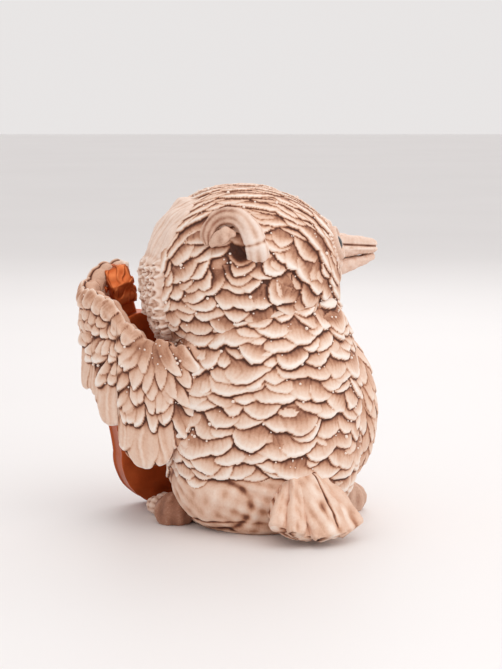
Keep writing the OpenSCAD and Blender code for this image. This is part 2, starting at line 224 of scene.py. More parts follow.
class Skin:
    """A mesh in millimetres with its relief height and paint attributes."""

    def __init__(self, V, F):
        self.V, self.F = V, F
        self.N = normals(V, F)
        self.E = edges(F)
        n = len(V)
        self.H = np.zeros(n)
        self.fx, self.fy = np.zeros(n), np.zeros(n)
        self.tint = np.zeros(n)
        warp = [0.24 * lumps(V, 3.6 * K, 11 + i) + 0.06 * lumps(V, 1.0 * K, 21 + i) for i in range(3)]
        self.base = V + np.stack(warp, 1) * K

    def plumes(self, feathers, reach=3.0, facing=0.2):
        """Overlapping feathers: the highest feather at each point shows."""
        best = np.full(len(self.V), -1e9)
        own = np.zeros(len(self.V))
        for k, f in enumerate(feathers):
            d = self.base - f["c"]
            box = f["L"] + f["W"]
            near = np.nonzero((np.abs(d) < box).all(1))[0]
            if len(near) == 0:
                continue
            d = d[near]
            a, b, c = d @ f["t"] / f["L"], d @ f["s"] / f["W"], d @ f["n"]
            b = b + f.get("bend", 0.0) * a * a
            p, ph = f.get("p", 2.0), f["ph"]
            rag = f.get("rag", 0.6) * (0.030 * np.sin(9 * b + ph) + 0.022 * np.sin(21 * b + 2.3 * ph)
                                       + 0.016 * np.sin(43 * b + 4.1 * ph))
            m = np.maximum(a, 0) ** f.get("q", 1.0) + np.abs(b) ** p + rag * sstep(a, -0.1, 0.4)
            ok = (np.abs(c) < reach + 0.5 * f["L"]) & (a > -1) & (self.N[near] @ f["n"] > facing) & (m < 1)
            near, a, b, m = near[ok], a[ok], b[ok], m[ok]
            if len(near) == 0:
                continue
            T = f["T"]
            h = T * (0.08 + 0.92 * np.clip((a + 1) / 2, 0, 1) ** 1.15) * (1 - 0.45 * b * b)
            h += f.get("R", 0.03) * T * bell(m - 0.80, 0.14) * sstep(a, -0.3, 0.3)
            h -= T * 0.50 * m ** 14
            root = 1 - sstep(m, 0.35, 0.85)
            barb = np.sin(b * f.get("nb", 26) * (1 + 0.15 * a) + ph * 3 + 0.8 * np.sin(a * 4 + ph))
            h += f.get("B", 0.014) * barb * (0.15 + 0.85 * root) * (0.6 + 0.4 * np.sin(b * 11 + ph))
            if "rachis" in f:
                h += f["rachis"] * bell(b, 0.10)
            h += f.get("lift", 0.0)
            win = h > best[near]
            i = near[win]
            best[i] = h[win]
            self.fx[i] = b[win] * f["W"] * 1.15 + k * 3.7
            self.fy[i] = a[win] * f["L"] * 0.35 + k * 1.3
            # each feather lighter towards its tip: worn paint and painted highlight on the lip
            pale = sstep(a[win] + 0.5 * b[win] ** 2, -0.3, 0.7) - 0.5
            own[i] = f.get("tint", 0.0) + f.get("lip", 0.20) * pale + 0.010 * barb[win] * root[win]
        got = best > -1e8
        self.H[got] = self.H[got] + best[got]
        self.tint += own
        return got

    def settle(self, fine=5, broad=26, f_gain=0.9, b_gain=0.85, bias=0.575, grit=0.035):
        """Moves the skin by its relief and works out the paint value: brown wash and painted shade in the
        hollows and under the feather lips, worn paint and painted highlight on the raised parts.
        """
        rough = grit * K * (lumps(self.V, 0.8 * K, 5) + 0.6 * lumps(self.V, 0.45 * K, 6))
        self.V = self.V + self.N * (self.H + rough)[:, None]
        near, far = blur(self.H, self.E, fine), blur(self.H, self.E, broad)
        d = self.H - near
        # where d is below zero, under each lip, the value drops hard as painted shade; raised parts and broad
        # swells go lighter as painted highlight
        self.wash_and_shade = np.clip(bias + f_gain * np.where(d > 0, 0.8 * d, 5.2 * d) + b_gain * (near - far)
                            + b_gain * 0.5 * (self.H - far) + self.tint, 0, 1)
        return self


def build(name, skins, material, nodes):
    """One object out of several skins; it stands for the given CAD nodes."""
    V, Q, T, wash_and_shade, fx, fy, off = [], [], [], [], [], [], 0
    for s in skins:
        V.append(s.V)
        for f in s.F:
            (Q if f.shape[1] == 4 else T).append(f + off)
        wash_and_shade.append(s.wash_and_shade)
        fx.append(s.fx)
        fy.append(s.fy)
        off += len(s.V)
    V = np.concatenate(V)
    parts = [np.concatenate(x) for x in (Q, T) if x]
    loops = np.concatenate([p.ravel() for p in parts])
    sizes = np.concatenate([np.full(len(p), p.shape[1]) for p in parts])
    me = bpy.data.meshes.new(name)
    me.vertices.add(len(V))
    me.vertices.foreach_set("co", (V * MM).astype(np.float32).ravel())
    me.loops.add(len(loops))
    me.loops.foreach_set("vertex_index", loops.astype(np.int32))
    me.polygons.add(len(sizes))
    me.polygons.foreach_set("loop_start", np.concatenate([[0], np.cumsum(sizes)[:-1]]).astype(np.int32))
    me.polygons.foreach_set("loop_total", sizes.astype(np.int32))
    me.polygons.foreach_set("use_smooth", np.full(len(sizes), True))
    me.update(calc_edges=True)
    for key, val in (("wash_and_shade", wash_and_shade), ("fx", fx), ("fy", fy)):
        at_ = me.attributes.new(key, "FLOAT", "POINT")
        at_.data.foreach_set("value", np.concatenate(val).astype(np.float32))
    me.materials.append(material)
    ob = bpy.data.objects.new(name, me)
    bpy.context.scene.collection.objects.link(ob)
    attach(ob, "root")
    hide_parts(*nodes)
    return ob


def beads(skin, count, where, r_lo=0.16, r_hi=0.42):
    """Tiny casting beads left in the crevices."""
    pick = np.nonzero(where & (skin.wash_and_shade < 0.42))[0]
    V, F, off = [], [], 0
    for i in rng.choice(pick, min(count, len(pick)), replace=False):
        r = r_lo + (r_hi - r_lo) * rng.random() ** 3.5
        v, f = icosphere(skin.V[i] + skin.N[i] * r * 0.75, r)
        V.append(v)
        F.append(f + off)
        off += len(v)
    s = Skin(np.concatenate(V), [np.concatenate(F)])
    s.wash_and_shade = np.full(len(s.V), 0.93)
    return s


# ---------------------------------------------------------------- materials
def nodes_of(name):
    m = bpy.data.materials.new(name)
    m.use_nodes = True
    nt = m.node_tree
    return m, nt, nt.nodes["Principled BSDF"]


def link(nt, a, b):
    """Joins socket a to socket b."""
    nt.links.new(a, b)


def math_node(nt, op, a, b=None, clamp=False):
    n = nt.nodes.new("ShaderNodeMath")
    n.operation = op
    n.use_clamp = clamp
    for i, x in enumerate((a, b)):
        if x is None:
            continue
        if isinstance(x, (int, float)):
            n.inputs[i].default_value = x
        else:
            link(nt, x, n.inputs[i])
    return n.outputs[0]


def about_zero(nt, fac, amount):
    """A 0..1 pattern turned into plus or minus half of amount."""
    return math_node(nt, "MULTIPLY", math_node(nt, "SUBTRACT", fac, 0.5), amount)


def bump(nt, bsdf, height, strength, depth):
    n = nt.nodes.new("ShaderNodeBump")
    n.inputs["Strength"].default_value = strength
    n.inputs["Distance"].default_value = depth
    link(nt, height, n.inputs["Height"])
    link(nt, n.outputs[0], bsdf.inputs["Normal"])


def attr(nt, name):
    n = nt.nodes.new("ShaderNodeAttribute")
    n.attribute_name = name
    return n.outputs["Fac"]


def noise(nt, vec, scale, detail=4.0, rough=0.55):
    n = nt.nodes.new("ShaderNodeTexNoise")
    n.inputs["Scale"].default_value = scale
    n.inputs["Detail"].default_value = detail
    n.inputs["Roughness"].default_value = rough
    link(nt, vec, n.inputs["Vector"])
    return n.outputs["Fac"]


def ramp(nt, fac, stops, mode="LINEAR"):
    n = nt.nodes.new("ShaderNodeValToRGB")
    n.color_ramp.interpolation = mode
    el = n.color_ramp.elements
    while len(el) > 1:
        el.remove(el[-1])
    el[0].position, el[0].color = stops[0][0], (*stops[0][1], 1)
    for p, c in stops[1:]:
        e = el.new(p)
        e.color = (*c, 1)
    link(nt, fac, n.inputs[0])
    return n.outputs[0]


def lin(*rgb):
    return tuple((c / 255 / 12.92) if c / 255 <= 0.04045 else ((c / 255 + 0.055) / 1.055) ** 2.4 for c in rgb)


def millimetres(nt):
    tc = nt.nodes.new("ShaderNodeTexCoord")
    sc = nt.nodes.new("ShaderNodeVectorMath")
    sc.operation = "SCALE"
    sc.inputs["Scale"].default_value = 1000
    link(nt, tc.outputs["Object"], sc.inputs[0])
    return sc.outputs[0]


def streaks(nt, sx, sy):
    c = nt.nodes.new("ShaderNodeCombineXYZ")
    link(nt, math_node(nt, "MULTIPLY", attr(nt, "fx"), sx), c.inputs[0])
    link(nt, math_node(nt, "MULTIPLY", attr(nt, "fy"), sy), c.inputs[1])
    return c.outputs[0]


def washed_shaded_resin(name, stops, rough=0.62):
    """Brushed and wiped paint with painted shade and painted highlight: stops gives its colour by the
    per-vertex paint value.
    """
    m, nt, bsdf = nodes_of(name)
    pos = millimetres(nt)
    wash_and_shade = attr(nt, "wash_and_shade")
    blotch = noise(nt, pos, 0.22, 3.0)
    grain = noise(nt, pos, 1.9, 6.0, 0.68)
    barb = noise(nt, streaks(nt, 2.2, 0.5), 1.6, 3.0, 0.6)
    v = math_node(nt, "ADD", wash_and_shade, about_zero(nt, grain, 0.27))
    v = math_node(nt, "ADD", v, about_zero(nt, barb, 0.10))
    v = math_node(nt, "ADD", v, about_zero(nt, blotch, 0.22), True)
    link(nt, ramp(nt, v, stops), bsdf.inputs["Base Color"])
    r = math_node(nt, "ADD", rough - 0.12, math_node(nt, "MULTIPLY", grain, 0.26))
    link(nt, r, bsdf.inputs["Roughness"])
    bsdf.inputs["Specular IOR Level"].default_value = 0.36
    h = math_node(nt, "ADD", math_node(nt, "MULTIPLY", barb, 0.45), math_node(nt, "MULTIPLY", grain, 0.5))
    bump(nt, bsdf, h, 0.55, 0.00016)
    return m


# colours from the crevices to the tops: brown wash and painted shade in the crevices, worn paint and painted
# highlight on the tops
RESIN = washed_shaded_resin("washed_shaded_resin", [
    (0.0, lin(74, 38, 24)), (0.20, lin(128, 76, 53)), (0.40, lin(189, 137, 108)),
    (0.60, lin(225, 185, 160)), (0.82, lin(241, 217, 200)), (1.0, lin(250, 238, 228))])
PALE = washed_shaded_resin("pale_resin", [
    (0.0, lin(90, 52, 37)), (0.25, lin(160, 110, 86)), (0.5, lin(220, 184, 162)),
    (0.75, lin(242, 220, 206)), (1.0, lin(250, 240, 232))], 0.6)


def copper_paint(name, stops, rough=0.3):
    m, nt, bsdf = nodes_of(name)
    pos = millimetres(nt)
    # the per-vertex paint value: darker in grooves as painted shade, lighter on raised parts as painted
    # highlight
    wash_and_shade = attr(nt, "wash_and_shade")
    blotch = noise(nt, pos, 0.35, 4.0)
    grain = noise(nt, pos, 5.5, 4.0, 0.7)
    v = math_node(nt, "ADD", wash_and_shade, about_zero(nt, blotch, 0.30))
    v = math_node(nt, "ADD", v, about_zero(nt, grain, 0.10), True)
    link(nt, ramp(nt, v, stops), bsdf.inputs["Base Color"])
    bsdf.inputs["Metallic"].default_value = 0.86
    r = math_node(nt, "ADD", rough - 0.08, math_node(nt, "MULTIPLY", blotch, 0.24))
    link(nt, r, bsdf.inputs["Roughness"])
    bump(nt, bsdf, math_node(nt, "ADD", grain, math_node(nt, "MULTIPLY", blotch, 1.5)), 0.25, 0.00008)
    return m


COPPER = copper_paint("copper_paint", [
    (0.0, lin(62, 18, 6)), (0.3, lin(130, 52, 21)), (0.6, lin(192, 94, 47)),
    (0.85, lin(232, 144, 90)), (1.0, lin(250, 190, 140))], 0.36)


def glossy_eye():
    m, nt, bsdf = nodes_of("eye_paint")
    pos = millimetres(nt)
    v = math_node(nt, "ADD", attr(nt, "wash_and_shade"), about_zero(nt, noise(nt, pos, 2.5), 0.12), True)
    link(nt, ramp(nt, v, [(0.0, lin(14, 9, 7)), (0.42, lin(22, 14, 10)), (0.5, lin(150, 84, 36)),
                          (0.9, lin(206, 128, 62)), (1.0, lin(120, 66, 30))]), bsdf.inputs["Base Color"])
    link(nt, math_node(nt, "ADD", 0.10, math_node(nt, "MULTIPLY", noise(nt, pos, 6.0), 0.10)),
         bsdf.inputs["Roughness"])
    bsdf.inputs["Coat Weight"].default_value = 0.6
    return m


EYE = glossy_eye()


def felt_pad():
    m, nt, bsdf = nodes_of("felt")
    pos = millimetres(nt)
    g = noise(nt, pos, 7.0, 6.0, 0.8)
    link(nt, ramp(nt, g, [(0.25, lin(34, 28, 25)), (0.75, lin(82, 68, 58))]), bsdf.inputs["Base Color"])
    bsdf.inputs["Roughness"].default_value = 0.95
    bump(nt, bsdf, g, 0.9, 0.0002)
    return m


FELT = felt_pad()


# ---------------------------------------------------------------- feathers laid on a skin
def feather(c, n, flow, L, W, T, **kw):
    t = flow - n * (flow @ n)
    t = t / max(np.linalg.norm(t), 1e-9)
    return dict(c=c, n=n, t=t, s=np.cross(n, t), L=L, W=W, T=T, ph=rng.random() * 6.28, **kw)


# ---------------------------------------------------------------- torso
def torso_r(z):
    z = np.asarray(z, float)
    low = np.sqrt(np.maximum(1 - (np.abs(27 - z) / 35.5) ** 2.5, 0))
    high = 1 - 0.127 * (np.maximum(z - 27, 0) / 20) ** 2.2
    return BODY_R / K * np.where(z < 27, low, high)


def torso():
    nz, nt = 225, 520
    z = np.linspace(0.05, NECK_Z / K, nz)
    th = np.arange(nt) / nt * 2 * math.pi
    r = (torso_r(z) - 0.6) * (1 - 0.05 * bell(z, 0.9))
    V = turned(r, z, th)
    F = grid_faces(nz, nt)
    V = np.concatenate([V, [[0, 0, 0.05], [0, 0, z[-1]]]]) * K
    j = np.arange(nt)
    j2 = (j + 1) % nt
    cap = np.concatenate([np.stack([np.full(nt, nz * nt), j2, j], 1),
                          np.stack([np.full(nt, nz * nt + 1), (nz - 1) * nt + j, (nz - 1) * nt + j2], 1)])
    sk = Skin(V, [F, cap])
    zz = sk.V[:, 2] / K
    ang = np.arctan2(sk.V[:, 1], sk.V[:, 0])
    sk.H += 0.30 * np.sin(3 * ang + 1.0) * np.sin(zz * 0.12) + 0.15 * np.sin(7 * ang + zz * 0.3)
    # the left side of the rump is bare, the right side is feathered almost to the table
    bare_top = 7.0 + 8.0 * sstep(np.cos(ang - math.radians(38)), -0.1, 0.75)
    fs = []
    z0, row = 57.5, 0
    while z0 > 6:
        rr = float(torso_r(z0))
        mid = math.exp(-((z0 - 31) / 14) ** 2)
        n = int(round(2 * math.pi * rr / (5.3 + 1.5 * mid)))
        for i in range(n):
            a = (i + 0.5 * (row % 2) + rng.normal(0, 0.20)) / n * 2 * math.pi
            zc = z0 + rng.normal(0, 0.65)
            top = 7.0 + 8.0 * float(sstep(np.array(math.cos(a - math.radians(38))), -0.1, 0.75))
            if zc < top:
                continue
            rc = float(torso_r(min(zc, 54.0))) - 0.5
            nrm = unit(np.array([math.cos(a), math.sin(a), 0.05 if zc < 27 else 0.25 * (zc - 27) / 27]))
            c = np.array([rc * math.cos(a), rc * math.sin(a), zc]) * K
            side = np.array([-math.sin(a), math.cos(a), 0])
            flow = -UP + side * rng.normal(0, 0.24)
            da = math.atan2(math.sin(a - math.pi / 2), math.cos(a - math.pi / 2))
            if zc < 24:
                flow = flow + side * 0.5 * np.sign(da) * math.exp(-(da / 0.6) ** 2) * (24 - zc) / 12
            fade = float(sstep(np.array(zc), top, top + 6))
            big = min(max(1 + 0.22 * rng.normal(), 0.62), 1.5)
            length, width = (2.8 + 0.8 * mid) * (0.75 + 0.25 * big) * K, (4.1 + 1.1 * mid) * big * K
            fs.append(feather(c, nrm, flow, length, width,
                              (0.95 + 0.35 * rng.random()) * (0.3 + 0.7 * fade) * K, tint=0.04 * rng.normal(),
                              bend=0.20 * rng.normal(), lip=0.36, nb=26 * big, lift=0.22 * rng.normal() * K,
                              q=1.0 + 0.5 * rng.random()))
        z0 -= 2.2 + 0.65 * mid
        row += 1
    sk.plumes(fs)
    low = 1 - sstep(zz, bare_top - 3, bare_top + 1)
    sk.H += low * (0.45 * lumps(sk.V, 7 * K, 31) + 0.16 * lumps(sk.V, 2.2 * K, 32))
    thigh = ((ang - math.radians(20)) / 0.55) ** 2 + ((zz - 8) / 6.5) ** 2
    sk.H += low * (1.3 * np.exp(-thigh ** 2) - 0.55 * bell(thigh - 1.5, 0.3))
    sk.H -= 0.6 * bell(zz - 3.0 - 0.3 * np.sin(2 * ang), 0.42) * (0.55 + 0.45 * np.sin(2.3 * ang + 2))
    sk.H[zz < 0.3] *= 0.1
    sk.fx += low * ang * 14
    sk.fy += low * zz * 0.25
    # darker towards the base: painted shade where the body meets the floor
    sk.tint += (low * 0.06 - 0.12 * (1 - sstep(zz, 0.5, 8))
                - low * 0.05 * sstep(lumps(sk.V, 1.5 * K, 33), 0.5, 1.3))
    sk.settle()
    bd = beads(sk, 230, (zz > 14) & (zz < 53))
    return build("torso_plumage", [sk, bd], RESIN, ["torso"])


# ---------------------------------------------------------------- head
def head_skin(d, grow=0.0):
    """Point of the head's skin in direction d from its middle."""
    rho, zeta = np.hypot(d[..., 0], d[..., 1]), np.abs(d[..., 2])
    p = 2.3
    lam = ((rho / (HEAD_R + grow)) ** p + (zeta / (HEAD_B + grow)) ** p) ** (-1 / p)
    return HEAD_C + d * lam[..., None]


def head_at(f, l, h):
    """Point from forward, left and up distances from the middle of the head."""
    f, l, h = np.broadcast_arrays(*[np.asarray(x, float) for x in (f, l, h)])
    return HEAD_C + (f[..., None] * FACE + l[..., None] * HEAD_LEFT + h[..., None] * UP) * K


EYE_AZ, EYE_EL = math.radians(23), math.radians(19.5)


def eye_dir(side):
    return (FACE * math.cos(EYE_AZ) * math.cos(EYE_EL)
            + HEAD_LEFT * side * math.sin(EYE_AZ) * math.cos(EYE_EL)
            + UP * math.sin(EYE_EL))


def head():
    D, F = cube_ball(136)
    V = head_skin(D, -0.6 * K)
    if signed_volume(V - HEAD_C, F) < 0:
        F = [f[:, ::-1].copy() for f in F]
    sk = Skin(V, F)
    face, up = D @ FACE, D[:, 2]
    for d0, amt, wide in ((FACE * 0.62 + UP * 0.78, -1.5, 0.38),
                          (-FACE * 0.75 + UP * 0.66, -1.1, 0.42),
                          (UP, -0.2, 0.3)):
        sk.H += amt * K * np.exp(-(np.linalg.norm(D - unit(d0), axis=1) / wide) ** 2)
    fs, kept = [], np.zeros((0, 3))
    cand = unit(rng.normal(size=(14000, 3)))
    P = head_skin(cand, -0.5 * K)
    for d, p in zip(cand, P, strict=True):
        if d[2] < -0.85 or d @ FACE > 0.97 or any(d @ eye_dir(s) > 0.975 for s in (-1, 1)):
            continue
        n = unit(np.array([d[0], d[1], d[2] * 1.1]))
        pull = 2.0 * float(sstep(np.array(d[2]), -0.30, 0.30))
        flow = -AWAY * pull - UP * (0.8 + 0.2 * rng.normal()) + ACROSS * 0.12 * rng.normal()
        if d @ FACE > 0.88 and d[2] < 0.3:       # short feathers turn away from the beak
            flow = flow + (d - FACE) * 3.0
        crown = float(sstep(np.array(d[2]), 0.25, 0.7))
        L = (2.7 - 0.7 * crown) * K
        W = (4.2 + 0.9 * crown) * min(max(1 + 0.25 * rng.normal(), 0.65), 1.5) * K
        t = unit(flow - n * (flow @ n))
        s_ = np.cross(n, t)
        e = kept - p
        gap_t, gap_s = (1.65 - 0.75 * crown) * K, 0.98 * W
        if len(kept) and ((e @ t / gap_t) ** 2 + (e @ s_ / gap_s) ** 2 < 1).any():
            continue
        kept = np.vstack([kept, p])
        fs.append(feather(p, n, flow, L, W, (0.74 + 0.34 * rng.random()) * (1 - 0.25 * crown) * K,
                          tint=0.04 * rng.normal() - 0.05 * crown, bend=0.2 * rng.normal(),
                          lip=0.36, nb=5.5 * W / K, q=1.0 + 0.5 * rng.random()))
    # feathers lower on the head lie under those above them
    fs = [dict(f, lift=(0.006 * (f["c"][2] - HEAD_C[2]) / K + 0.2 * rng.normal()) * K) for f in fs]
    sk.plumes(fs)
    for side in (-1, 1):
        near = np.linalg.norm(D - unit(HEAD_LEFT * side * 19.8 + FACE * -6.2 + UP * 6.9), axis=1)
        # a pit on each side under the ear, with painted shade darkening it
        sk.H -= 2.2 * bell(near, 0.12)
        sk.tint -= 0.55 * bell(near, 0.17)
        # brow: a ridge from the beak up and outwards over the eye
        q = D @ HEAD_LEFT * side
        over = D[:, 2] - (0.42 + 0.55 * q - 0.35 * q * q)
        sk.H += 1.0 * bell(over, 0.055) * sstep(face, 0.6, 0.85) * sstep(q, -0.02, 0.1) * (face > 0)
    sk.tint += 0.02 * up - 0.05
    sk.settle()
    bd = beads(sk, 230, (up > -0.6) & (face < 0.9))
    return build("head_plumage", [sk, bd], RESIN, ["head"])


# ---------------------------------------------------------------- sweeps
def curve(P, n):
    """n points of a smooth line through the control rows P."""
    P = np.asarray(P, float)
    Q = np.vstack([2 * P[0] - P[1], P, 2 * P[-1] - P[-2]])
    t = np.linspace(0, len(P) - 1 - 1e-9, n)
    i, u = t.astype(int), (t % 1)[:, None]
    a, b, c, d = Q[i], Q[i + 1], Q[i + 2], Q[i + 3]
    return 0.5 * (2 * b + (c - a) * u + (2 * a - 5 * b + 4 * c - d) * u ** 2
                  + (3 * b - a - 3 * c + d) * u ** 3)


def roll(path, width, thick, normal, n=60, nphi=48, e=1.0, section=None):
    """A sweep along a line; normal gives the side that faces out."""
    C = curve(path, n)
    w, th = np.interp(np.linspace(0, 1, n), np.linspace(0, 1, len(width)), width), \
        np.interp(np.linspace(0, 1, n), np.linspace(0, 1, len(thick)), thick)
    T = unit(np.gradient(C, axis=0))
    N = np.broadcast_to(np.asarray(normal, float), C.shape)
    S = unit(np.cross(T, N))
    N = unit(np.cross(S, T))
    V, F, A, PH = loft(C, S, N, w, th, nphi, e, section)
    sk = Skin(V, F)
    sk.A, sk.PH = A, PH
    return sk


def plate_section(p=6.0):
    return lambda phi: (np.cos(phi), np.sign(np.sin(phi)) * (1 - np.abs(np.cos(phi)) ** p) ** (1 / p))


ROUND_ENDS = [0.05, 0.62, 0.88, 1, 1, 1, 1, 1, 1, 0.9, 0.66, 0.05]


# ---------------------------------------------------------------- ears
def ear(side):
    sd = "right" if side < 0 else "left"
    lo, hi = mm("ear_" + sd)
    mid = ((lo + hi) / 2 - HEAD_C) / K
    f0, h0 = mid @ FACE, mid @ UP
    out = unit(HEAD_LEFT * side * 0.86 + UP * 0.25 - FACE * 0.25)

    def pt(df, l, dh):
        return head_at(f0 + df, side * l, h0 + dh)
    path = [pt(4.2, 20.6, -11.4), pt(3.8, 21.8, -8.4), pt(2.9, 22.4, -4.8),
            pt(1.4, 22.0, -1.4), pt(-0.9, 20.8, 0.9), pt(-3.9, 19.4, 1.1),
            pt(-6.4, 19.0, -0.6), pt(-7.7, 19.4, -3.2), pt(-7.6, 19.8, -5.6)]
    skins = []
    main = roll(path, ks(0.9, 2.5, 2.75, 2.6, 2.3, 2.0, 1.9, 1.8, 1.5, 0.7),
                ks(0.6, 1.7, 2.0, 2.0, 1.9, 1.7, 1.5, 1.3, 1.0, 0.4), out, 130, 56)
    main.H += 0.16 * lumps(main.V, 2.0 * K, 41) + 0.07 * np.sin(main.PH * 7 + main.A * 5)
    main.H -= 0.30 * bell(main.A - 0.24, 0.016)
    main.fx, main.fy = main.A * 12, main.PH * 2
    # the front lobe lighter as painted highlight, the back arm darker as painted shade
    main.tint += 0.16 * bell(main.A - 0.2, 0.2) - 0.16 * sstep(main.A, 0.42, 0.62)
    skins.append(main)
    inner = roll([pt(-7.2, 20.4, -5.6), pt(-5.6, 21.4, -4.1), pt(-3.6, 21.9, -2.9), pt(-1.6, 21.6, -2.9)],
                 ks(0.5, 1.6, 1.7, 0.5), ks(0.4, 1.1, 1.1, 0.4), out, 60, 40)
    inner.H += 0.12 * lumps(inner.V, 1.4 * K, 42)
    inner.fx, inner.fy = inner.A * 12, inner.PH
    # the inner fold darker as painted shade in the ear's hollow
    inner.tint -= 0.10
    skins.append(inner)
    for s_ in skins:
        s_.settle(3, 14)
    return build("ear_" + sd + "_fold", skins, PALE, ["ear_" + sd])


# ---------------------------------------------------------------- beak
def beak(name, node, lower):
    n, nphi = 110, 96
    t = np.linspace(0, 1, n)
    tip = 1 - (1 - np.sqrt(np.clip(1 - ((t - 0.95) / 0.05).clip(0, 1) ** 2, 0, 1))) * 0.93
    f = 20.6 + (13.6 if not lower else 13.0) * t
    mouth = 3.2 + 1.5 * t ** 1.2
    top, low = 10.0 - 2.0 * t ** 1.2, -1.4 + 4.6 * t ** 1.5
    hw = (4.7 - 2.5 * t ** 1.1) * (1 if not lower else 0.93)
    up_h, dn_h = (top, mouth + 0.12) if not lower else (mouth - 0.12, low)
    mid, half = (up_h + dn_h) / 2, np.maximum((up_h - dn_h) / 2, 0.25)
    C = head_at(f, 0, mid)
    S = np.broadcast_to(HEAD_LEFT, C.shape)
    N = np.broadcast_to(UP, C.shape)
    V, F, _, _ = loft(C, S, N, hw * tip * K, half * tip * K, nphi, 0.72)
    sk = Skin(V, F)
    q = ((sk.V - HEAD_C) / K)
    h = q @ UP
    x = (q @ FACE - 20.6) / 13.6
    if not lower:
        sk.H -= 0.40 * bell(h - (7.5 - 1.1 * x), 0.26) * sstep(x, 0.10, 0.2)
        sk.H += 0.20 * bell(h - (6.4 - 0.8 * x), 0.35)
        for s_ in (-1, 1):
            d = np.hypot((x - 0.42) * 12.6 / 1.2, (h - (6.2)) / 0.42)
            sk.H -= 0.35 * np.exp(-d ** 2) * (q @ HEAD_LEFT * s_ > 0)
    sk.H += 0.10 * lumps(sk.V, 1.6 * K, 51) + 0.03 * lumps(sk.V, 0.7 * K, 52)
    sk.fx, sk.fy = h * 0.5, x * 2
    sk.tint += 0.05
    sk.settle(3, 12)
    return build(name, [sk], PALE, [node])


# ---------------------------------------------------------------- eyes and the dishes round them
def patch(centre, across, upw, r_max, nr, nth, skin, r_min=0.0):
    """Polar grid on the head round a direction: returns V, F, r, th and the directions D."""
    r = np.linspace(r_min, r_max, nr)
    th = np.arange(nth) / nth * 2 * math.pi
    R, TH = np.repeat(r, nth), np.tile(th, nr)
    spoke = np.cos(TH)[:, None] * across + np.sin(TH)[:, None] * upw
    D = unit(centre + spoke * (R / (HEAD_R / K))[:, None])
    return head_skin(D, skin), grid_faces(nr, nth), R, TH, D


def face_disc():
    skins = []
    for side in (-1, 1):
        c = eye_dir(side)
        ax = unit(np.cross(UP, c))
        V, F, R, TH, D = patch(c, ax, np.cross(c, ax), 6.9, 70, 260, -1.2 * K, 2.2)
        sk = Skin(V, [F])
        if (sk.N * D).sum() < 0:
            sk = Skin(V, [F[:, ::-1].copy()])
        rag = 0.30 * np.sin(11 * TH + 1.2 * np.sin(3 * TH)) + 0.20 * np.sin(19 * TH + 1)
        rr = R + rag * sstep(R, 4.5, 7)
        sk.H += 1.15 + 1.25 * bell(R - 3.5, 0.55) + 0.10 * sstep(R, 4, 6.6)
        sk.H -= 1.6 * sstep(rr, 5.6, 6.4)
        ray = np.sin(TH * 30 + 1.3 * np.sin(TH * 4) + 0.8 * np.sin(R * 2))
        band = sstep(R, 4.0, 4.8) * (1 - sstep(rr, 5.6, 6.3))
        sk.H += (0.09 + 0.04 * np.sin(3 * TH + side)) * ray * band
        sk.H += 0.30 * bell(rr - 5.2, 0.5) - 2.0 * sstep(-R, -2.9, -2.2)
        sk.fx, sk.fy = TH * 9, R * 0.4
        sk.settle(3, 14)
        skins.append(sk)
    return build("face_discs", skins, PALE, ["face_disc"])


def eye(side):
    sd = "left" if side > 0 else "right"
    lo, hi = mm("eye_" + sd)
    c = eye_dir(side)
    mid = (lo + hi) / 2
    D, F = cube_ball(26)
    r = 2.85 * K
    centre = head_skin(c[None], 0)[0] - c * 1.55 * K
    centre = centre + (mid - centre) * 0.15
    V = centre + D * r
    if signed_volume(V - centre, F) < 0:
        F = [f[:, ::-1].copy() for f in F]
    sk = Skin(V, F)
    a = np.arccos(np.clip(D @ c, -1, 1))
    sk.wash_and_shade = 0.1 + 0.7 * sstep(a, 0.58, 0.66)
    lid = []
    ax = unit(np.cross(UP, c))
    vert = np.cross(c, ax)
    for sgn, reach in ((1, 0.74), (-1, 0.86)):
        t = np.linspace(-1.35, 1.35, 9)
        pts = [centre + (c * (0.34 + 0.30 * math.cos(x)) + ax * math.sin(x) * 0.95
                         + sgn * vert * reach * math.cos(x)) * r * 1.03 for x in t]
        s_ = roll(pts, ks(0.3, 0.45, 0.55, 0.45, 0.3), ks(0.3, 0.42, 0.5, 0.42, 0.3), c, 40, 24)
        s_.H += 0.02 * np.sin(s_.A * 17 + sgn)
        s_.settle(2, 8)
        lid.append(s_)
    build("eyelids_" + sd, lid, PALE, ["face_disc"])
    return build("eye_ball_" + sd, [sk], EYE, ["eye_" + sd])


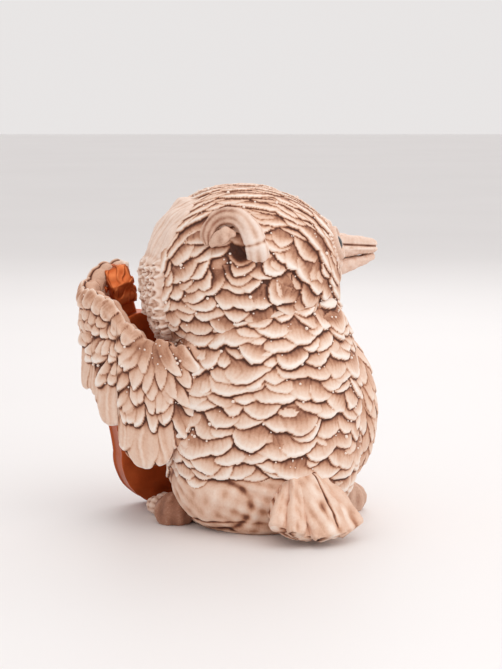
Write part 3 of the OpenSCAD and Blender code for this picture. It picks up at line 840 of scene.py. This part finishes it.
# ---------------------------------------------------------------- ridge of curls down the nape
def nape():
    nh, nl = 230, 170
    h = np.linspace(-15.0, 19.5, nh)
    x = np.linspace(-1, 1, nl)
    Hh, X = np.repeat(h, nl), np.tile(x, nh)
    half = np.interp(Hh, [-15, -12, -6, 0, 4, 6, 9, 13, 17, 19.5],
                     [3.0, 5.8, 8.4, 9.2, 8.6, 7.6, 9.2, 9.6, 7.4, 3.0])
    el = np.arcsin(np.clip(Hh / 23, -1, 1))
    az = X * half / 23 / np.cos(el)
    D = unit(-FACE * (np.cos(el) * np.cos(az))[:, None] + HEAD_LEFT * (np.cos(el) * np.sin(az))[:, None]
             + UP * np.sin(el)[:, None])
    F = grid_faces(nh, nl, False)
    sk = Skin(head_skin(D, -0.8 * K), [F])
    if (sk.N * D).sum() < 0:
        sk = Skin(sk.V, [F[:, ::-1].copy()])
    end = sstep(Hh, -15, -13) * (1 - sstep(Hh, 17.5, 19.5))
    curly = 1 - sstep(Hh, 3.0, 6.5)
    rim = bell(np.abs(X) - 0.84, 0.11) * (0.3 + 0.7 * curly)
    thick = curly * (1 - np.abs(X) ** 6) + (1 - curly) * (0.62 * (1 - np.abs(X) ** 2.2) - 0.05)
    sk.H += (1.9 * thick + 0.5 * rim - 0.35 * bell(Hh - 5.4 + 1.5 * X * X, 0.8)) * end
    sk.H += 0.25 * lumps(sk.V, 2.5 * K, 61)
    for i in range(9):
        for j in (-1, 1, -2, 2, -3, 3):
            hc = -13.0 + i * 2.05 + 0.5 * rng.normal()
            spread = 2.7 * np.interp(hc, [-15, -8, 6], [0.6, 0.95, 1.1])
            lc = (j - 0.5 * np.sign(j)) * spread + 0.4 * rng.normal()
            d = np.hypot(Hh - hc, (X * half - lc) * 0.75)
            w = np.arctan2(Hh - hc, (X * half - lc) * j)
            sk.H += (0.42 * bell(d - 1.1, 0.34) * sstep(w + 2.4, 0, 0.6) - 0.25 * bell(d, 0.5)) * end * curly
    bow = X * half + 0.35 * Hh
    fan = np.sin(bow * 2.9 + 1.6 * np.sin(Hh * 0.45)) + 0.5 * np.sin(bow * 5.3 + 2 * np.sin(Hh * 0.3 + 1))
    sk.H += 0.12 * fan * (1 - curly) * (1 - X * X) * end
    sk.fx, sk.fy = X * 5, Hh * 0.6
    sk.tint += 0.04 + 0.06 * (1 - curly)
    sk.settle(3, 12)
    return build("nape_curls", [sk], PALE, ["nape_crest"])


# ---------------------------------------------------------------- raised left wing
WING = [(-8, -15.5), (-13, -15.5), (-18.5, -14.2), (-25, -11.4), (-31.5, -7.9), (-37, -4.0),
        (-41.0, 0.6), (-42.4, 5.2), (-41.4, 10), (-38.4, 13.4), (-34.4, 15.0)]


def wing_left():
    n, nphi = 330, 330
    P = curve(np.array(WING, float), n)
    step = np.linalg.norm(np.diff(P, axis=0), axis=1)
    S = np.concatenate([[0], np.cumsum(step)])
    ztop = np.interp(S, [0, 19, 23, 26.5, 29.6, 33, 42, 47, 52, 57.5, 61, S[-1]],
                     [44, 46.0, 47.4, 50.0, 53.0, 55.0, 55.8, 57.6, 60.8, 62.4, 60, 55])
    base = np.interp(S, [0, 9, 12, 16, 50, 56, S[-1]], [26, 24, 21, 20, 40, 41, 44])
    zb = base.copy()
    for sc_, zc, rs, rz, p in ((20.3, 22.5, 7.2, 6.6, 2.4), (30.4, 31.5, 4.6, 6.2, 2.6),
                               (41.2, 39, 5.6, 6.3, 3.2), (47.2, 45, 4.4, 5.6, 2.6)):
        x = np.abs(S - sc_) / rs
        zb = np.where(x < 1, np.minimum(zb, zc - rz * (1 - np.minimum(x, 1) ** p) ** (1 / p)), zb)
    zb = np.where(S > 48, np.minimum(zb, 40 + (S - 48) * 0.3), zb)
    ztop = ztop + 0.5 * np.sin(S * 0.9) + 0.3 * np.sin(S * 2.3 + 1)
    C = at(P[:, 0], P[:, 1], (ztop + zb) / 2)
    T = unit(np.gradient(at(P[:, 0], P[:, 1], 0), axis=0))
    N = unit(np.cross(T, np.broadcast_to(UP, T.shape)))
    N = N * np.sign((N @ -AWAY)[n // 4])
    V, F, A, _ = loft(C, np.broadcast_to(UP, T.shape), N, (ztop - zb) / 2 * K, np.full(n, 1.45) * K, nphi,
                      section=plate_section(5.0))
    sk = Skin(V, F)
    zz = sk.V[:, 2] / K
    ss = np.interp(A, np.linspace(0, 1, n), S)
    fs = []

    def lay(s0, z0, ds, dz, L, W, Tt, sidew=1.0, **kw):
        i = min(int(np.searchsorted(S, s0)), n - 1)
        nn = N[i] * sidew
        c = at(P[i, 0], P[i, 1], z0) + nn * 1.45 * K
        fs.append(feather(c, nn, T[i] * ds + UP * dz, L * K, W * K, Tt * K, **kw))
    # flight feathers: long rounded blades that make the lobes of the lower edge
    for s0, z0, ds, dz, L, W, Tt in (
            (46.8, 46.5, 0.25, -1, 8.5, 4.4, 0.7), (41.2, 40.5, 0.15, -1, 8.6, 5.4, 0.85),
            (35.5, 36.2, 0.1, -1, 6.5, 3.6, 0.6), (30.4, 33, 0.05, -1, 8.4, 4.4, 0.9),
            (25.6, 27.0, 0.0, -1, 7.5, 3.8, 0.8), (20.8, 23.8, -0.05, -1, 8.6, 5.0, 1.0),
            (15.4, 22.0, -0.2, -1, 7.5, 3.6, 0.8)):
        lay(s0, z0, ds, dz, L, W, Tt, rachis=0.12, q=2.0, p=2.6, lip=0.06, B=0.03, nb=11, rag=0.5, tint=0.14)
    # coverts fan out from the shoulder
    so, zo = 19.5, 50.0
    for ring, dist in enumerate((6.5, 9.6, 12.7, 15.8, 18.9, 22.0, 25.1)):
        m_ = int(3 + dist * 0.92)
        for j in range(m_):
            ang = math.radians(-38 - (j + 0.5 * (ring % 2)) / m_ * 150) + rng.normal(0, 0.05)
            ds, dz = -math.cos(ang), math.sin(ang)
            s0, z0 = so + dist * ds, zo + dist * dz * 1.05
            if s0 < 5 or s0 > 49 or z0 > float(np.interp(s0, S, ztop)) - 2.5:
                continue
            if z0 < float(np.interp(s0, S, zb)) + 11.5 and s0 > 12:
                continue
            lay(s0 + rng.normal(0, 0.4), z0 + rng.normal(0, 0.4), ds + rng.normal(0, 0.12), dz,
                4.8 + 1.2 * rng.random(), 1.75 + 0.4 * rng.random(), 0.85 + 0.3 * rng.random(),
                lip=0.30, lift=0.30, q=1.5, p=2.1, nb=7,
                bend=0.4 * rng.normal(), tint=0.04 * rng.normal())
    # rounder scales along the upper rim
    for rowi, dz0 in enumerate((1.2, 3.6, 6.2)):
        for s0 in np.arange(24, 60, 2.9):
            s1 = s0 + 1.4 * (rowi % 2) + rng.normal(0, 0.3)
            lay(s1, float(np.interp(s1, S, ztop)) - dz0, 0.75, -0.9, 2.7, 2.1, 0.85, lip=0.24, lift=0.55,
                q=1.6, p=2.0, nb=14, tint=0.04 * rng.normal())
    # the hollow side carries long plain feathers
    for s0 in np.arange(10, 62, 3.6):
        zt, zl = float(np.interp(s0, S, ztop)), float(np.interp(s0, S, zb))
        for q_ in (0.28, 0.62):
            lay(s0 + rng.normal(0, 0.4), zl + (zt - zl) * q_, 0.15 * rng.normal(), -1,
                (zt - zl) * 0.30, 2.5, 0.5, -1.0, rachis=0.14, q=2.0, p=2.4, lip=0.10, nb=20, rag=0.6)
    sk.plumes(fs, reach=1.6, facing=0.35)
    top = np.interp(ss, S, ztop)
    sk.H += 0.9 * sstep(zz, top - 3.6, top - 1.4) * sstep(ss, 20, 27)
    sk.tint += -0.05 + 0.05 * sstep(zz, top - 3.0, top - 1.0)
    sk.settle()
    bd = beads(sk, 40, (zz > 30) & (sk.N @ -AWAY > 0.3))
    return build("wing_left_plumage", [sk, bd], RESIN, ["wing_left"])


# ---------------------------------------------------------------- folded right wing
def plumed_blob(centre, axes, turn, flow_of, W, L, T, gap, count, n=64, skip=None):
    """An egg shape covered with long feathers."""
    D, F = cube_ball(n)
    ca, sa = math.cos(turn), math.sin(turn)
    R = np.array([[ca, -sa, 0], [sa, ca, 0], [0, 0, 1]])
    V = centre + (D * axes) @ R.T
    if signed_volume(V - centre, F) < 0:
        F = [f[:, ::-1].copy() for f in F]
    sk = Skin(V, F)
    cand = unit(rng.normal(size=(count, 3)))
    P_ = centre + (cand * axes) @ R.T
    NN = unit((cand / axes) @ R.T)
    kept, fs = np.zeros((0, 3)), []
    for p, nn in zip(P_, NN, strict=True):
        if skip is not None and skip(p, nn):
            continue
        flow = flow_of(p, nn)
        t = unit(flow - nn * (flow @ nn))
        s_ = np.cross(nn, t)
        e = kept - p
        if len(kept) and ((e @ t / (gap * L * K)) ** 2 + (e @ s_ / (1.25 * W * K)) ** 2 < 1).any():
            continue
        kept = np.vstack([kept, p])
        fs.append(feather(p, nn, flow, L * K, W * (1 + 0.15 * rng.normal()) * K,
                          T * (1 + 0.2 * rng.normal()) * K, q=1.7, p=2.0, lip=0.2, nb=12,
                          tint=0.04 * rng.normal()))
    sk.plumes(fs)
    sk.tint -= 0.02
    sk.settle(4, 20)
    return sk


def wing_right():
    outer = np.array([-1.0, 0, 0])
    body = plumed_blob(ks(-21.0, -3.0, 26.5), ks(8.4, 15.8, 19.0), 0.0,
                       lambda p, nn: -UP - np.array([0, 1, 0]) * 0.55 + 0.1 * rng.normal(size=3),
                       1.7, 5.4, 0.75, 0.42, 1900, 72, lambda p, nn: nn @ outer < -0.2)
    tip = plumed_blob(ks(-14.0, -19.0, 30.0), ks(11.2, 4.6, 6.9), math.radians(-36),
                      lambda p, nn: np.array([0.85, -0.55, -0.35]) + 0.08 * rng.normal(size=3),
                      1.5, 5.0, 0.65, 0.42, 900, 48)
    return build("wing_right_plumage", [body, tip], RESIN, ["wing_right"])


# ---------------------------------------------------------------- tail
def tail():
    skins = []
    root = np.array([0, 18.2, 18.0])
    down = np.array([0, math.cos(math.radians(52)), -math.sin(math.radians(52))])
    nor = np.array([0, math.sin(math.radians(52)), math.cos(math.radians(52))])
    for ang, wdt, lift, ln in ((26, 2.3, -1.0, 18.4), (15, 2.3, 0.9, 19.8), (5, 2.5, -0.6, 19.8),
                               (-9, 4.9, 1.3, 21.0), (-28, 4.4, -0.5, 21.4)):
        a = math.radians(ang)
        d = down * math.cos(a) + np.array([1.0, 0, 0]) * math.sin(a)
        pts = [root + d * ln * q + nor * (lift + 0.9 * math.sin(q * math.pi) * 0.6)
               for q in (0, 0.2, 0.4, 0.6, 0.8, 0.95, 1.0)]
        w = np.array([0.45, 0.62, 0.74, 0.84, 0.93, 0.99, 1.0, 1.0, 0.96, 0.80]) * wdt
        th = np.array([1.3, 1.5, 1.6, 1.7, 1.8, 1.9, 1.9, 1.9, 1.8, 1.4])
        sk = roll(np.array(pts) * K, w * K, th * K, nor, 170, 100, 0.7)
        top = sstep(sk.N @ nor, 0.0, 0.5)
        b = np.cos(sk.PH)
        ph = rng.random() * 6
        crease = bell(b + 0.42 - 0.3 * sk.A, 0.05) * sstep(sk.A, 0.1, 0.3) * (1 - sstep(sk.A, 0.7, 0.85))
        sk.H += top * (0.04 * np.sin(b * 8 + 3 * sk.A + ph) - 0.45 * crease * (wdt > 4.5))
        sk.H += 0.34 * lumps(sk.V, 4 * K, 71) + 0.16 * lumps(sk.V, 1.7 * K, 72)
        sk.fx, sk.fy = b * wdt * 1.3, sk.A * 5 + ph
        sk.tint += 0.08
        sk.settle(4, 22)
        skins.append(sk)
    under = roll(ks([0, 15, 9.5], [0, 20, 7.6], [0, 25, 4.0], [0, 28, 2.2]), ks(6.5, 7.0, 7.0, 5.0),
                 ks(6.0, 5.0, 2.6, 1.0), UP, 60, 60, 0.7)
    under.V[:, 2] = np.maximum(under.V[:, 2], 0.3)
    under.H += 0.15 * np.sin(under.PH * 12)
    under.settle(3, 12)
    skins.append(under)
    for s_ in skins:
        s_.V[:, 2] = np.maximum(s_.V[:, 2], 0.25)
    return build("tail_feathers", skins, RESIN, ["tail"])


# ---------------------------------------------------------------- feet
def foot(side):
    sd = "left" if side > 0 else "right"
    hx = 20.4 if side > 0 else -24.4
    hy = -6.5 if side > 0 else -2.6
    skins = []
    D, F = cube_ball(46)
    c = np.array([hx, hy, 2.6])
    V = (c + D * np.array([5.0, 5.0, 5.0])) * K
    if signed_volume(V - c * K, F) < 0:
        F = [f[:, ::-1].copy() for f in F]
    heel = Skin(V, F)
    az = np.arctan2(D[:, 1], D[:, 0])
    heel.H += 0.16 * np.sin(az * 9 + 1) * (1 - D[:, 2] ** 2) + 0.20 * lumps(heel.V, 2.4 * K, 81)
    # heels darker, the left heel most: painted shade low at the base
    heel.tint -= 0.12 + 0.2 * (side > 0)
    heel.fx, heel.fy = az * 8, D[:, 2] * 2
    skins.append(heel)
    for a, ln, r in ((side * -10, 12.0, 2.35), (side * 7, 9.6, 2.25), (side * -28, 11.4, 2.2)):
        ar = math.radians(a)
        d = np.array([math.sin(ar), -math.cos(ar), 0])
        pts = [np.array([hx, hy, r + 0.2]) + d * q for q in (0, ln * 0.35, ln * 0.7, ln, ln + 1.6)]
        pts[-1][2] -= 0.6
        toe = roll(np.array(pts) * K, np.array([1, 1, 1.02, 0.9, 1.06, 1.0, 0.6]) * r * K,
                   np.array([1.2, 1.1, 1.05, 0.92, 1.02, 0.9, 0.55]) * r * K, UP, 90, 48)
        toe.H += 0.22 * np.cos(toe.A * 30) * sstep(toe.A, 0.3, 0.5) + 0.07 * np.sin(toe.PH * 9)
        toe.fx, toe.fy = toe.A * 14, toe.PH * 2
        skins.append(toe)
        tipp = np.array([hx, hy, 0]) + d * (ln + 0.8)
        claw = roll(ks(tipp + [0, 0, 2.3], tipp + d * 1.5 + [0, 0, 2.1], tipp + d * 2.6 + [0, 0, 0.9]),
                    ks(0.9, 0.75, 0.12), ks(0.9, 0.7, 0.12), UP, 24, 20)
        claw.tint -= 0.25
        skins.append(claw)
    for s_ in skins:
        s_.settle(3, 14)
        s_.V[:, 2] = np.maximum(s_.V[:, 2], 0.04)
    return build("foot_" + sd + "_toes", skins, PALE, ["foot_" + sd])


# ---------------------------------------------------------------- cello
def spin(axis, deg):
    a = math.radians(deg)
    c, s_ = math.cos(a), math.sin(a)
    if axis == 0:
        return np.array([[1, 0, 0], [0, c, -s_], [0, s_, c]])
    return np.array([[c, 0, s_], [0, 1, 0], [-s_, 0, c]])


LEAN = spin(1, 16.4) @ spin(0, -2.2)
CELLO_O = ks(10.7, -28.4, 0.35)


def cel(P):
    return CELLO_O + (np.asarray(P, float) * K) @ LEAN.T


def box_skin(lo, hi, n=10, round_=0.18, taper=None):
    """A softly rounded block in the cello's own frame."""
    D, F = cube_ball(n)
    m_ = np.abs(D).max(1, keepdims=True)
    Q = D / m_
    lo, hi = np.array(lo, float), np.array(hi, float)
    half = (hi - lo) / 2
    core = half - round_
    X = np.clip(Q * half, -core, core)
    d = Q * half - X
    X = X + unit(d + 1e-9) * round_ * (np.abs(d).max(1, keepdims=True) > 0)
    P = X + (lo + hi) / 2
    if taper is not None:
        P = taper(P)
    V = cel(P)
    if signed_volume(V - V.mean(0), F) < 0:
        F = [f[:, ::-1].copy() for f in F]
    sk = Skin(V, F)
    sk.P = P
    return sk


def cello_width(s):
    low = np.sqrt(np.maximum(13.0 ** 2 - (s - 13.4) ** 2, 0))
    high = np.sqrt(np.maximum(10.4 ** 2 - (s - 41) ** 2, 0))
    bridge = np.interp(s, [17.9, 18, 26.6, 34.8, 42, 42.1], [0, 12.2, 11.4, 10.8, 10, 0])
    w = np.maximum(np.maximum(low, high), bridge)
    cut = 15.2 - np.sqrt(np.maximum(6.6 ** 2 - (s - 30.8) ** 2, 0))
    return np.where(np.abs(s - 30.8) < 6.6, np.minimum(w, cut), w)


def cello_body():
    n = 240
    s = 0.4 + 51.0 * (1 - np.cos(np.linspace(0, math.pi, n))) / 2
    s = 0.6 * s + 0.4 * np.linspace(0.4, 51.4, n)
    s[0], s[-1] = 0.4 + 1e-3, 51.4 - 1e-3
    w = np.maximum(cello_width(s), 0.02)
    half = 3.3
    m_ = 70
    x = np.sin(np.linspace(-1, 1, m_) * math.pi / 2)
    loops = []
    for si, wi in zip(s, w, strict=True):
        inset = min(0.22, wi * 0.3)
        rise = 1.15 * min(1, wi / 8)
        arch = rise * (1 - x * x)
        front = np.stack([x * wi, -half - arch, np.full(m_, si)], 1)
        edge1 = np.array([[wi + 0.12, -half + 0.35, si], [wi + 0.12, -half + 0.7, si],
                          [wi - inset, -half + 1.1, si]])
        rib = np.stack([np.full(9, wi - inset), np.linspace(-half + 1.3, half - 1.3, 9), np.full(9, si)], 1)
        edge2 = np.array([[wi - inset * 0.3, half - 1.3, si], [wi - 0.05, half - 0.9, si],
                          [wi, half - 0.45, si]])
        back = np.stack([x[::-1] * wi, half + arch[::-1], np.full(m_, si)], 1)
        side = np.concatenate([edge1, rib, edge2])
        other = side[::-1] * np.array([-1, 1, 1])
        loops.append(np.concatenate([front, side, back, other]))
    L_ = np.array(loops)
    k = L_.shape[1]
    P = np.concatenate([L_.reshape(-1, 3), [[0, 0, s[0]], [0, 0, s[-1]]]])
    j = np.arange(k)
    j2 = (j + 1) % k
    cap = np.concatenate([np.stack([np.full(k, n * k), j2, j], 1),
                          np.stack([np.full(k, n * k + 1), (n - 1) * k + j, (n - 1) * k + j2], 1)])
    F = [grid_faces(n, k), cap]
    V = cel(P)
    if signed_volume(V, F) < 0:
        F = [f[:, ::-1].copy() for f in F]
    sk = Skin(V, F)
    wv = np.concatenate([np.repeat(w, k), [1, 1]])
    face = (np.abs(P[:, 1]) > half - 0.05)
    inset = wv - np.abs(P[:, 0])
    groove = bell(inset - 1.3, 0.28) * face * (wv > 3) * (P[:, 1] < 0)
    sk.H -= 0.22 * groove
    sk.tint -= 0.35 * groove
    for sd in (-1, 1):                                  # sound holes in the front
        t = np.linspace(-1, 1, 41)
        fx_ = sd * 5.7 + sd * 0.9 * np.sin(t * 2.4) * -1
        fz = 28.4 + 4.3 * t
        d = np.full(len(P), 9.0)
        for a, b in zip(fx_, fz, strict=True):
            d = np.minimum(d, np.hypot(P[:, 0] - a, P[:, 2] - b))
        for a, b in ((fx_[0] + sd * 0.6, fz[0]), (fx_[-1] - sd * 0.6, fz[-1])):
            d = np.minimum(d, np.hypot(P[:, 0] - a, P[:, 2] - b) - 0.45)
        # the dents are painted dark: painted shade standing in for the open holes
        hole = (1 - sstep(d, 0.3, 0.75)) * (P[:, 1] < -half + 0.05)
        sk.H -= 0.6 * hole
        sk.tint -= 0.8 * hole
    sk.H += 0.10 * np.sin(P[:, 0] * 0.7 + P[:, 2] * 0.3) * np.sin(P[:, 2] * 0.5)
    sk.settle(3, 14, 1.0, 0.5, 0.52, 0.0)
    return build("cello_body_shell", [sk], COPPER, ["cello_body"])


def narrow(z0, z1, w0, w1):
    """A change of shape: the width is scaled by w0 at the height z0 and w1 at z1."""
    return lambda P: P * np.column_stack([np.interp(P[:, 2], [z0, z1], [w0, w1]), np.ones((len(P), 2))])


def cello_rest():
    half = 3.3
    neck = box_skin((-2.5, -half, 45), (2.5, 1.3, 55), 16, 0.9)
    board = box_skin((-2.5, -half - 1.9, 30), (2.5, -half - 0.2, 54.6), 16, 0.35,
                     narrow(30, 54.6, 1.04, 0.84))
    for s_ in (neck, board):
        s_.settle(2, 8, 1.5, 0.6, 0.6, 0.0)
    build("cello_neck_block", [neck, board], COPPER, ["cello_neck"])
    # pegbox: thick block, sloped head with leaf relief pressed into it
    D, F = cube_ball(64)
    Q = D / np.abs(D).max(1, keepdims=True)
    z = 54.0 + 10.0 * (Q[:, 2] + 1) / 2
    back = np.interp(z, [54, 59.4, 63.4, 64.1], [2.4, 3.2, 0.7, -1.6])
    front = np.interp(z, [54, 61.7, 64.1], [-3.2, -4.3, -2.4])
    soft = 1 - 0.06 * (np.abs(Q) > 0.93).sum(1).clip(0, 2)
    P = np.column_stack([Q[:, 0] * 3.2 * soft * np.interp(z, [54, 63.2, 64.1], [1, 1, 0.9]),
                         (front + back) / 2 + Q[:, 1] * (back - front) / 2 * soft, z])
    V = cel(P)
    if signed_volume(V - V.mean(0), F) < 0:
        F = [f[:, ::-1].copy() for f in F]
    box = Skin(V, F)
    x, zz = P[:, 0], P[:, 2]
    bk = sstep(Q[:, 1], 0.85, 1.0)
    dents = (sstep(lumps(box.V, 1.5 * K, 92), -0.2, 0.5) * 0.16
             + 0.10 * np.cos(1.9 * (zz - 59) + 0.8 * np.sin(x * 1.4)))
    box.H += bk * dents + 0.12 * lumps(box.V, 1.8 * K, 91)
    box.settle(3, 14, 1.6, 0.9, 0.66, 0.0)
    skins = [box]
    for sd in (-1, 1):                                   # round ears of the scroll
        t = np.linspace(0, 1, 26)
        pts = [(sd * (3.05 + 0.55 * q), -1.7 + (2.0 - 1.5 * q) * math.cos(q * 9.5),
                61.2 + (2.0 - 1.5 * q) * math.sin(q * 9.5)) for q in t]
        s_ = roll(cel(pts), ks(0.52, 0.52, 0.52, 0.52), ks(0.5, 0.5, 0.5, 0.5),
                  LEAN @ np.array([sd, 0.01, 0.0]), 150, 20)
        s_.settle(2, 8, 1.5, 0.6, 0.6, 0.0)
        skins.append(s_)
    build("cello_pegbox", skins, COPPER, ["cello_scroll"])
    pegs = []
    for sd in (-1, 1):
        for zc in (56.6, 59.0):
            sh = roll(cel([(sd * 2.2, 0, zc), (sd * 3.0, 0, zc), (sd * 3.6, 0, zc)]),
                      ks(0.5, 0.5, 0.5), ks(0.5, 0.5, 0.5), LEAN @ UP, 20, 20)
            hd = roll(cel([(sd * 3.3, 0, zc - 0.02), (sd * 3.6, 0, zc), (sd * 3.9, 0, zc + 0.02),
                           (sd * 4.1, 0, zc)]),
                      ks(0.7, 1.0, 0.95, 0.4), ks(0.7, 1.0, 0.95, 0.4), LEAN @ np.array([0, 1.0, 0]), 30, 28)
            for s_ in (sh, hd):
                s_.settle(2, 8, 1.5, 0.6, 0.6, 0.0)
                pegs.append(s_)
    build("cello_tuning_pegs", pegs, COPPER, ["cello_pegs"])
    br = []
    # across and forward along the arch, then along each leg
    for line, w_, t_ in (([(-3.2, 0.8), (-2.6, 1.9), (-1.6, 2.9), (0, 3.2),
                           (1.6, 2.9), (2.6, 1.9), (3.2, 0.8)], 0.55, 0.55),
                         ([(-1.1, 2.9), (-1.3, 1.6), (-1.9, 0.8)], 0.4, 0.45),
                         ([(1.1, 2.9), (1.3, 1.6), (1.9, 0.8)], 0.4, 0.45)):
        s_ = roll(cel([(x_, -half - y_, 27.1) for x_, y_ in line]),
                  np.array([0.9, 1, 1, 1, 0.9]) * w_ * K, np.full(3, t_) * K, LEAN @ UP, 40, 20)
        s_.settle(2, 8, 1.5, 0.6, 0.6, 0.0)
        br.append(s_)
    build("cello_bridge_arch", br, COPPER, ["cello_bridge"])
    tp = box_skin((-2.5, -half - 2.3, 6), (2.5, -half - 0.9, 19.3), 18, 0.45,
                  narrow(6, 19.3, 0.45, 1.05))
    tp.settle(2, 8, 1.5, 0.6, 0.6, 0.0)
    build("cello_tail_plate", [tp], COPPER, ["cello_tailpiece"])
    st = []
    for i in (-1.5, -0.5, 0.5, 1.5):
        pts = [(i * 1.05, -half - 2.25, 18.4), (i * 1.1, -half - 3.45, 27.1), (i * 0.95, -half - 2.9, 40),
               (i * 0.8, -half - 2.05, 54.4)]
        s_ = roll(cel(pts), ks(0.26, 0.26, 0.26), ks(0.26, 0.26, 0.26),
                  LEAN @ np.array([0, -1.0, 0]), 120, 12)
        s_.settle(1, 4, 1.0, 0.5, 0.75, 0.0)
        st.append(s_)
    build("cello_string_set", st, COPPER, ["cello_strings"])


# ---------------------------------------------------------------- felt pad under the base
def pad():
    lo, hi = mm("base_pad")
    n, nt = 26, 160
    r = np.concatenate([np.linspace(0.3, 1, 22), [1.0, 1.0, 0.9, 0.3]]) * (hi[0] - lo[0]) / 2
    z = np.concatenate([np.full(22, 0.02), [0.3, 0.9, 1.0, 1.0]]) * K
    th = np.arange(nt) / nt * 2 * math.pi
    V = turned(r, z, th)
    F = grid_faces(n, nt)
    V = np.concatenate([V, [[0, 0, z[0]], [0, 0, z[-1]]]])
    j = np.arange(nt)
    j2 = (j + 1) % nt
    cap = np.concatenate([np.stack([np.full(nt, n * nt), j2, j], 1),
                          np.stack([np.full(nt, n * nt + 1), (n - 1) * nt + j, (n - 1) * nt + j2], 1)])
    Fs = [F, cap]
    if signed_volume(V, Fs) < 0:
        Fs = [f[:, ::-1].copy() for f in Fs]
    sk = Skin(V, Fs)
    sk.wash_and_shade = np.full(len(V), 0.5)
    return build("felt_pad", [sk], FELT, ["base_pad"])


torso()
head()
for side_ in (-1, 1):
    ear(side_)
    eye(side_)
    foot(side_)
beak("beak_top", "beak_upper", False)
beak("beak_under", "beak_lower", True)
face_disc()
nape()
wing_left()
wing_right()
tail()
cello_body()
cello_rest()
pad()

# ---------------------------------------------------------------- room: camera, light, floor
SENSOR, LENS = 0.036, 100.0
cam_data = bpy.data.cameras.new("camera")
cam_data.lens = LENS
cam = bpy.data.objects.new("camera", cam_data)
bpy.context.scene.collection.objects.link(cam)
bpy.context.scene.camera = cam
cam_data.clip_start, cam_data.clip_end = 0.01, 10
elev = math.radians(7.5)
back = -AWAY * math.cos(elev) + UP * math.sin(elev)
target = (ACROSS * -2.67 + UP * 46.0) * K
dist = 1000 * 0.4516 * K
cam.location = Vector((target + back * dist) * MM)
cam.rotation_mode = "QUATERNION"
cam.rotation_quaternion = Vector(-back).to_track_quat("-Z", "Y")


def area(name, where, size, power, color=(1, 1, 1)):
    d = bpy.data.lights.new(name, "AREA")
    d.shape = "DISK"
    d.size = size
    d.energy = power
    d.color = color
    o = bpy.data.objects.new(name, d)
    bpy.context.scene.collection.objects.link(o)
    o.location = Vector(where * MM)
    o.rotation_mode = "QUATERNION"
    o.rotation_quaternion = (Vector(np.array([0, 0, 45.0]) * MM) - o.location).to_track_quat("-Z", "Y")
    return o


area("key", ACROSS * 270 - AWAY * 290 + UP * 520, 0.9, 1.7, (1.0, 0.99, 0.98))
area("back", ACROSS * 60 + AWAY * 420 + UP * 420, 0.5, 0.7, (1.0, 1.0, 1.0))

world = bpy.data.worlds.new("room")
bpy.context.scene.world = world
world.use_nodes = True
bg = world.node_tree.nodes["Background"]
bg.inputs[0].default_value = (1.0, 0.972, 0.965, 1)
bg.inputs[1].default_value = 0.81


def stage():
    n = 41
    g = np.sinh(np.linspace(-4, 4, n)) / math.sinh(4) * 4000
    V = (g[None, :, None] * ACROSS + g[:, None, None] * AWAY + 0 * UP).reshape(-1, 3)
    me = bpy.data.meshes.new("floor")
    me.from_pydata((V * MM).tolist(), [], grid_faces(n, n, False).tolist())
    me.polygons.foreach_set("use_smooth", np.ones(len(me.polygons), bool))
    m, nt, bsdf = nodes_of("floor_paint")
    pos = millimetres(nt)
    link(nt, ramp(nt, noise(nt, pos, 0.006, 2.0), [(0.3, (0.845, 0.825, 0.82)), (0.7, (0.865, 0.845, 0.84))]),
         bsdf.inputs["Base Color"])
    bsdf.inputs["Roughness"].default_value = 0.55
    me.materials.append(m)
    ob = bpy.data.objects.new("floor", me)
    bpy.context.scene.collection.objects.link(ob)
    return ob


stage()
sc = bpy.context.scene
sc.view_settings.view_transform = "Standard"
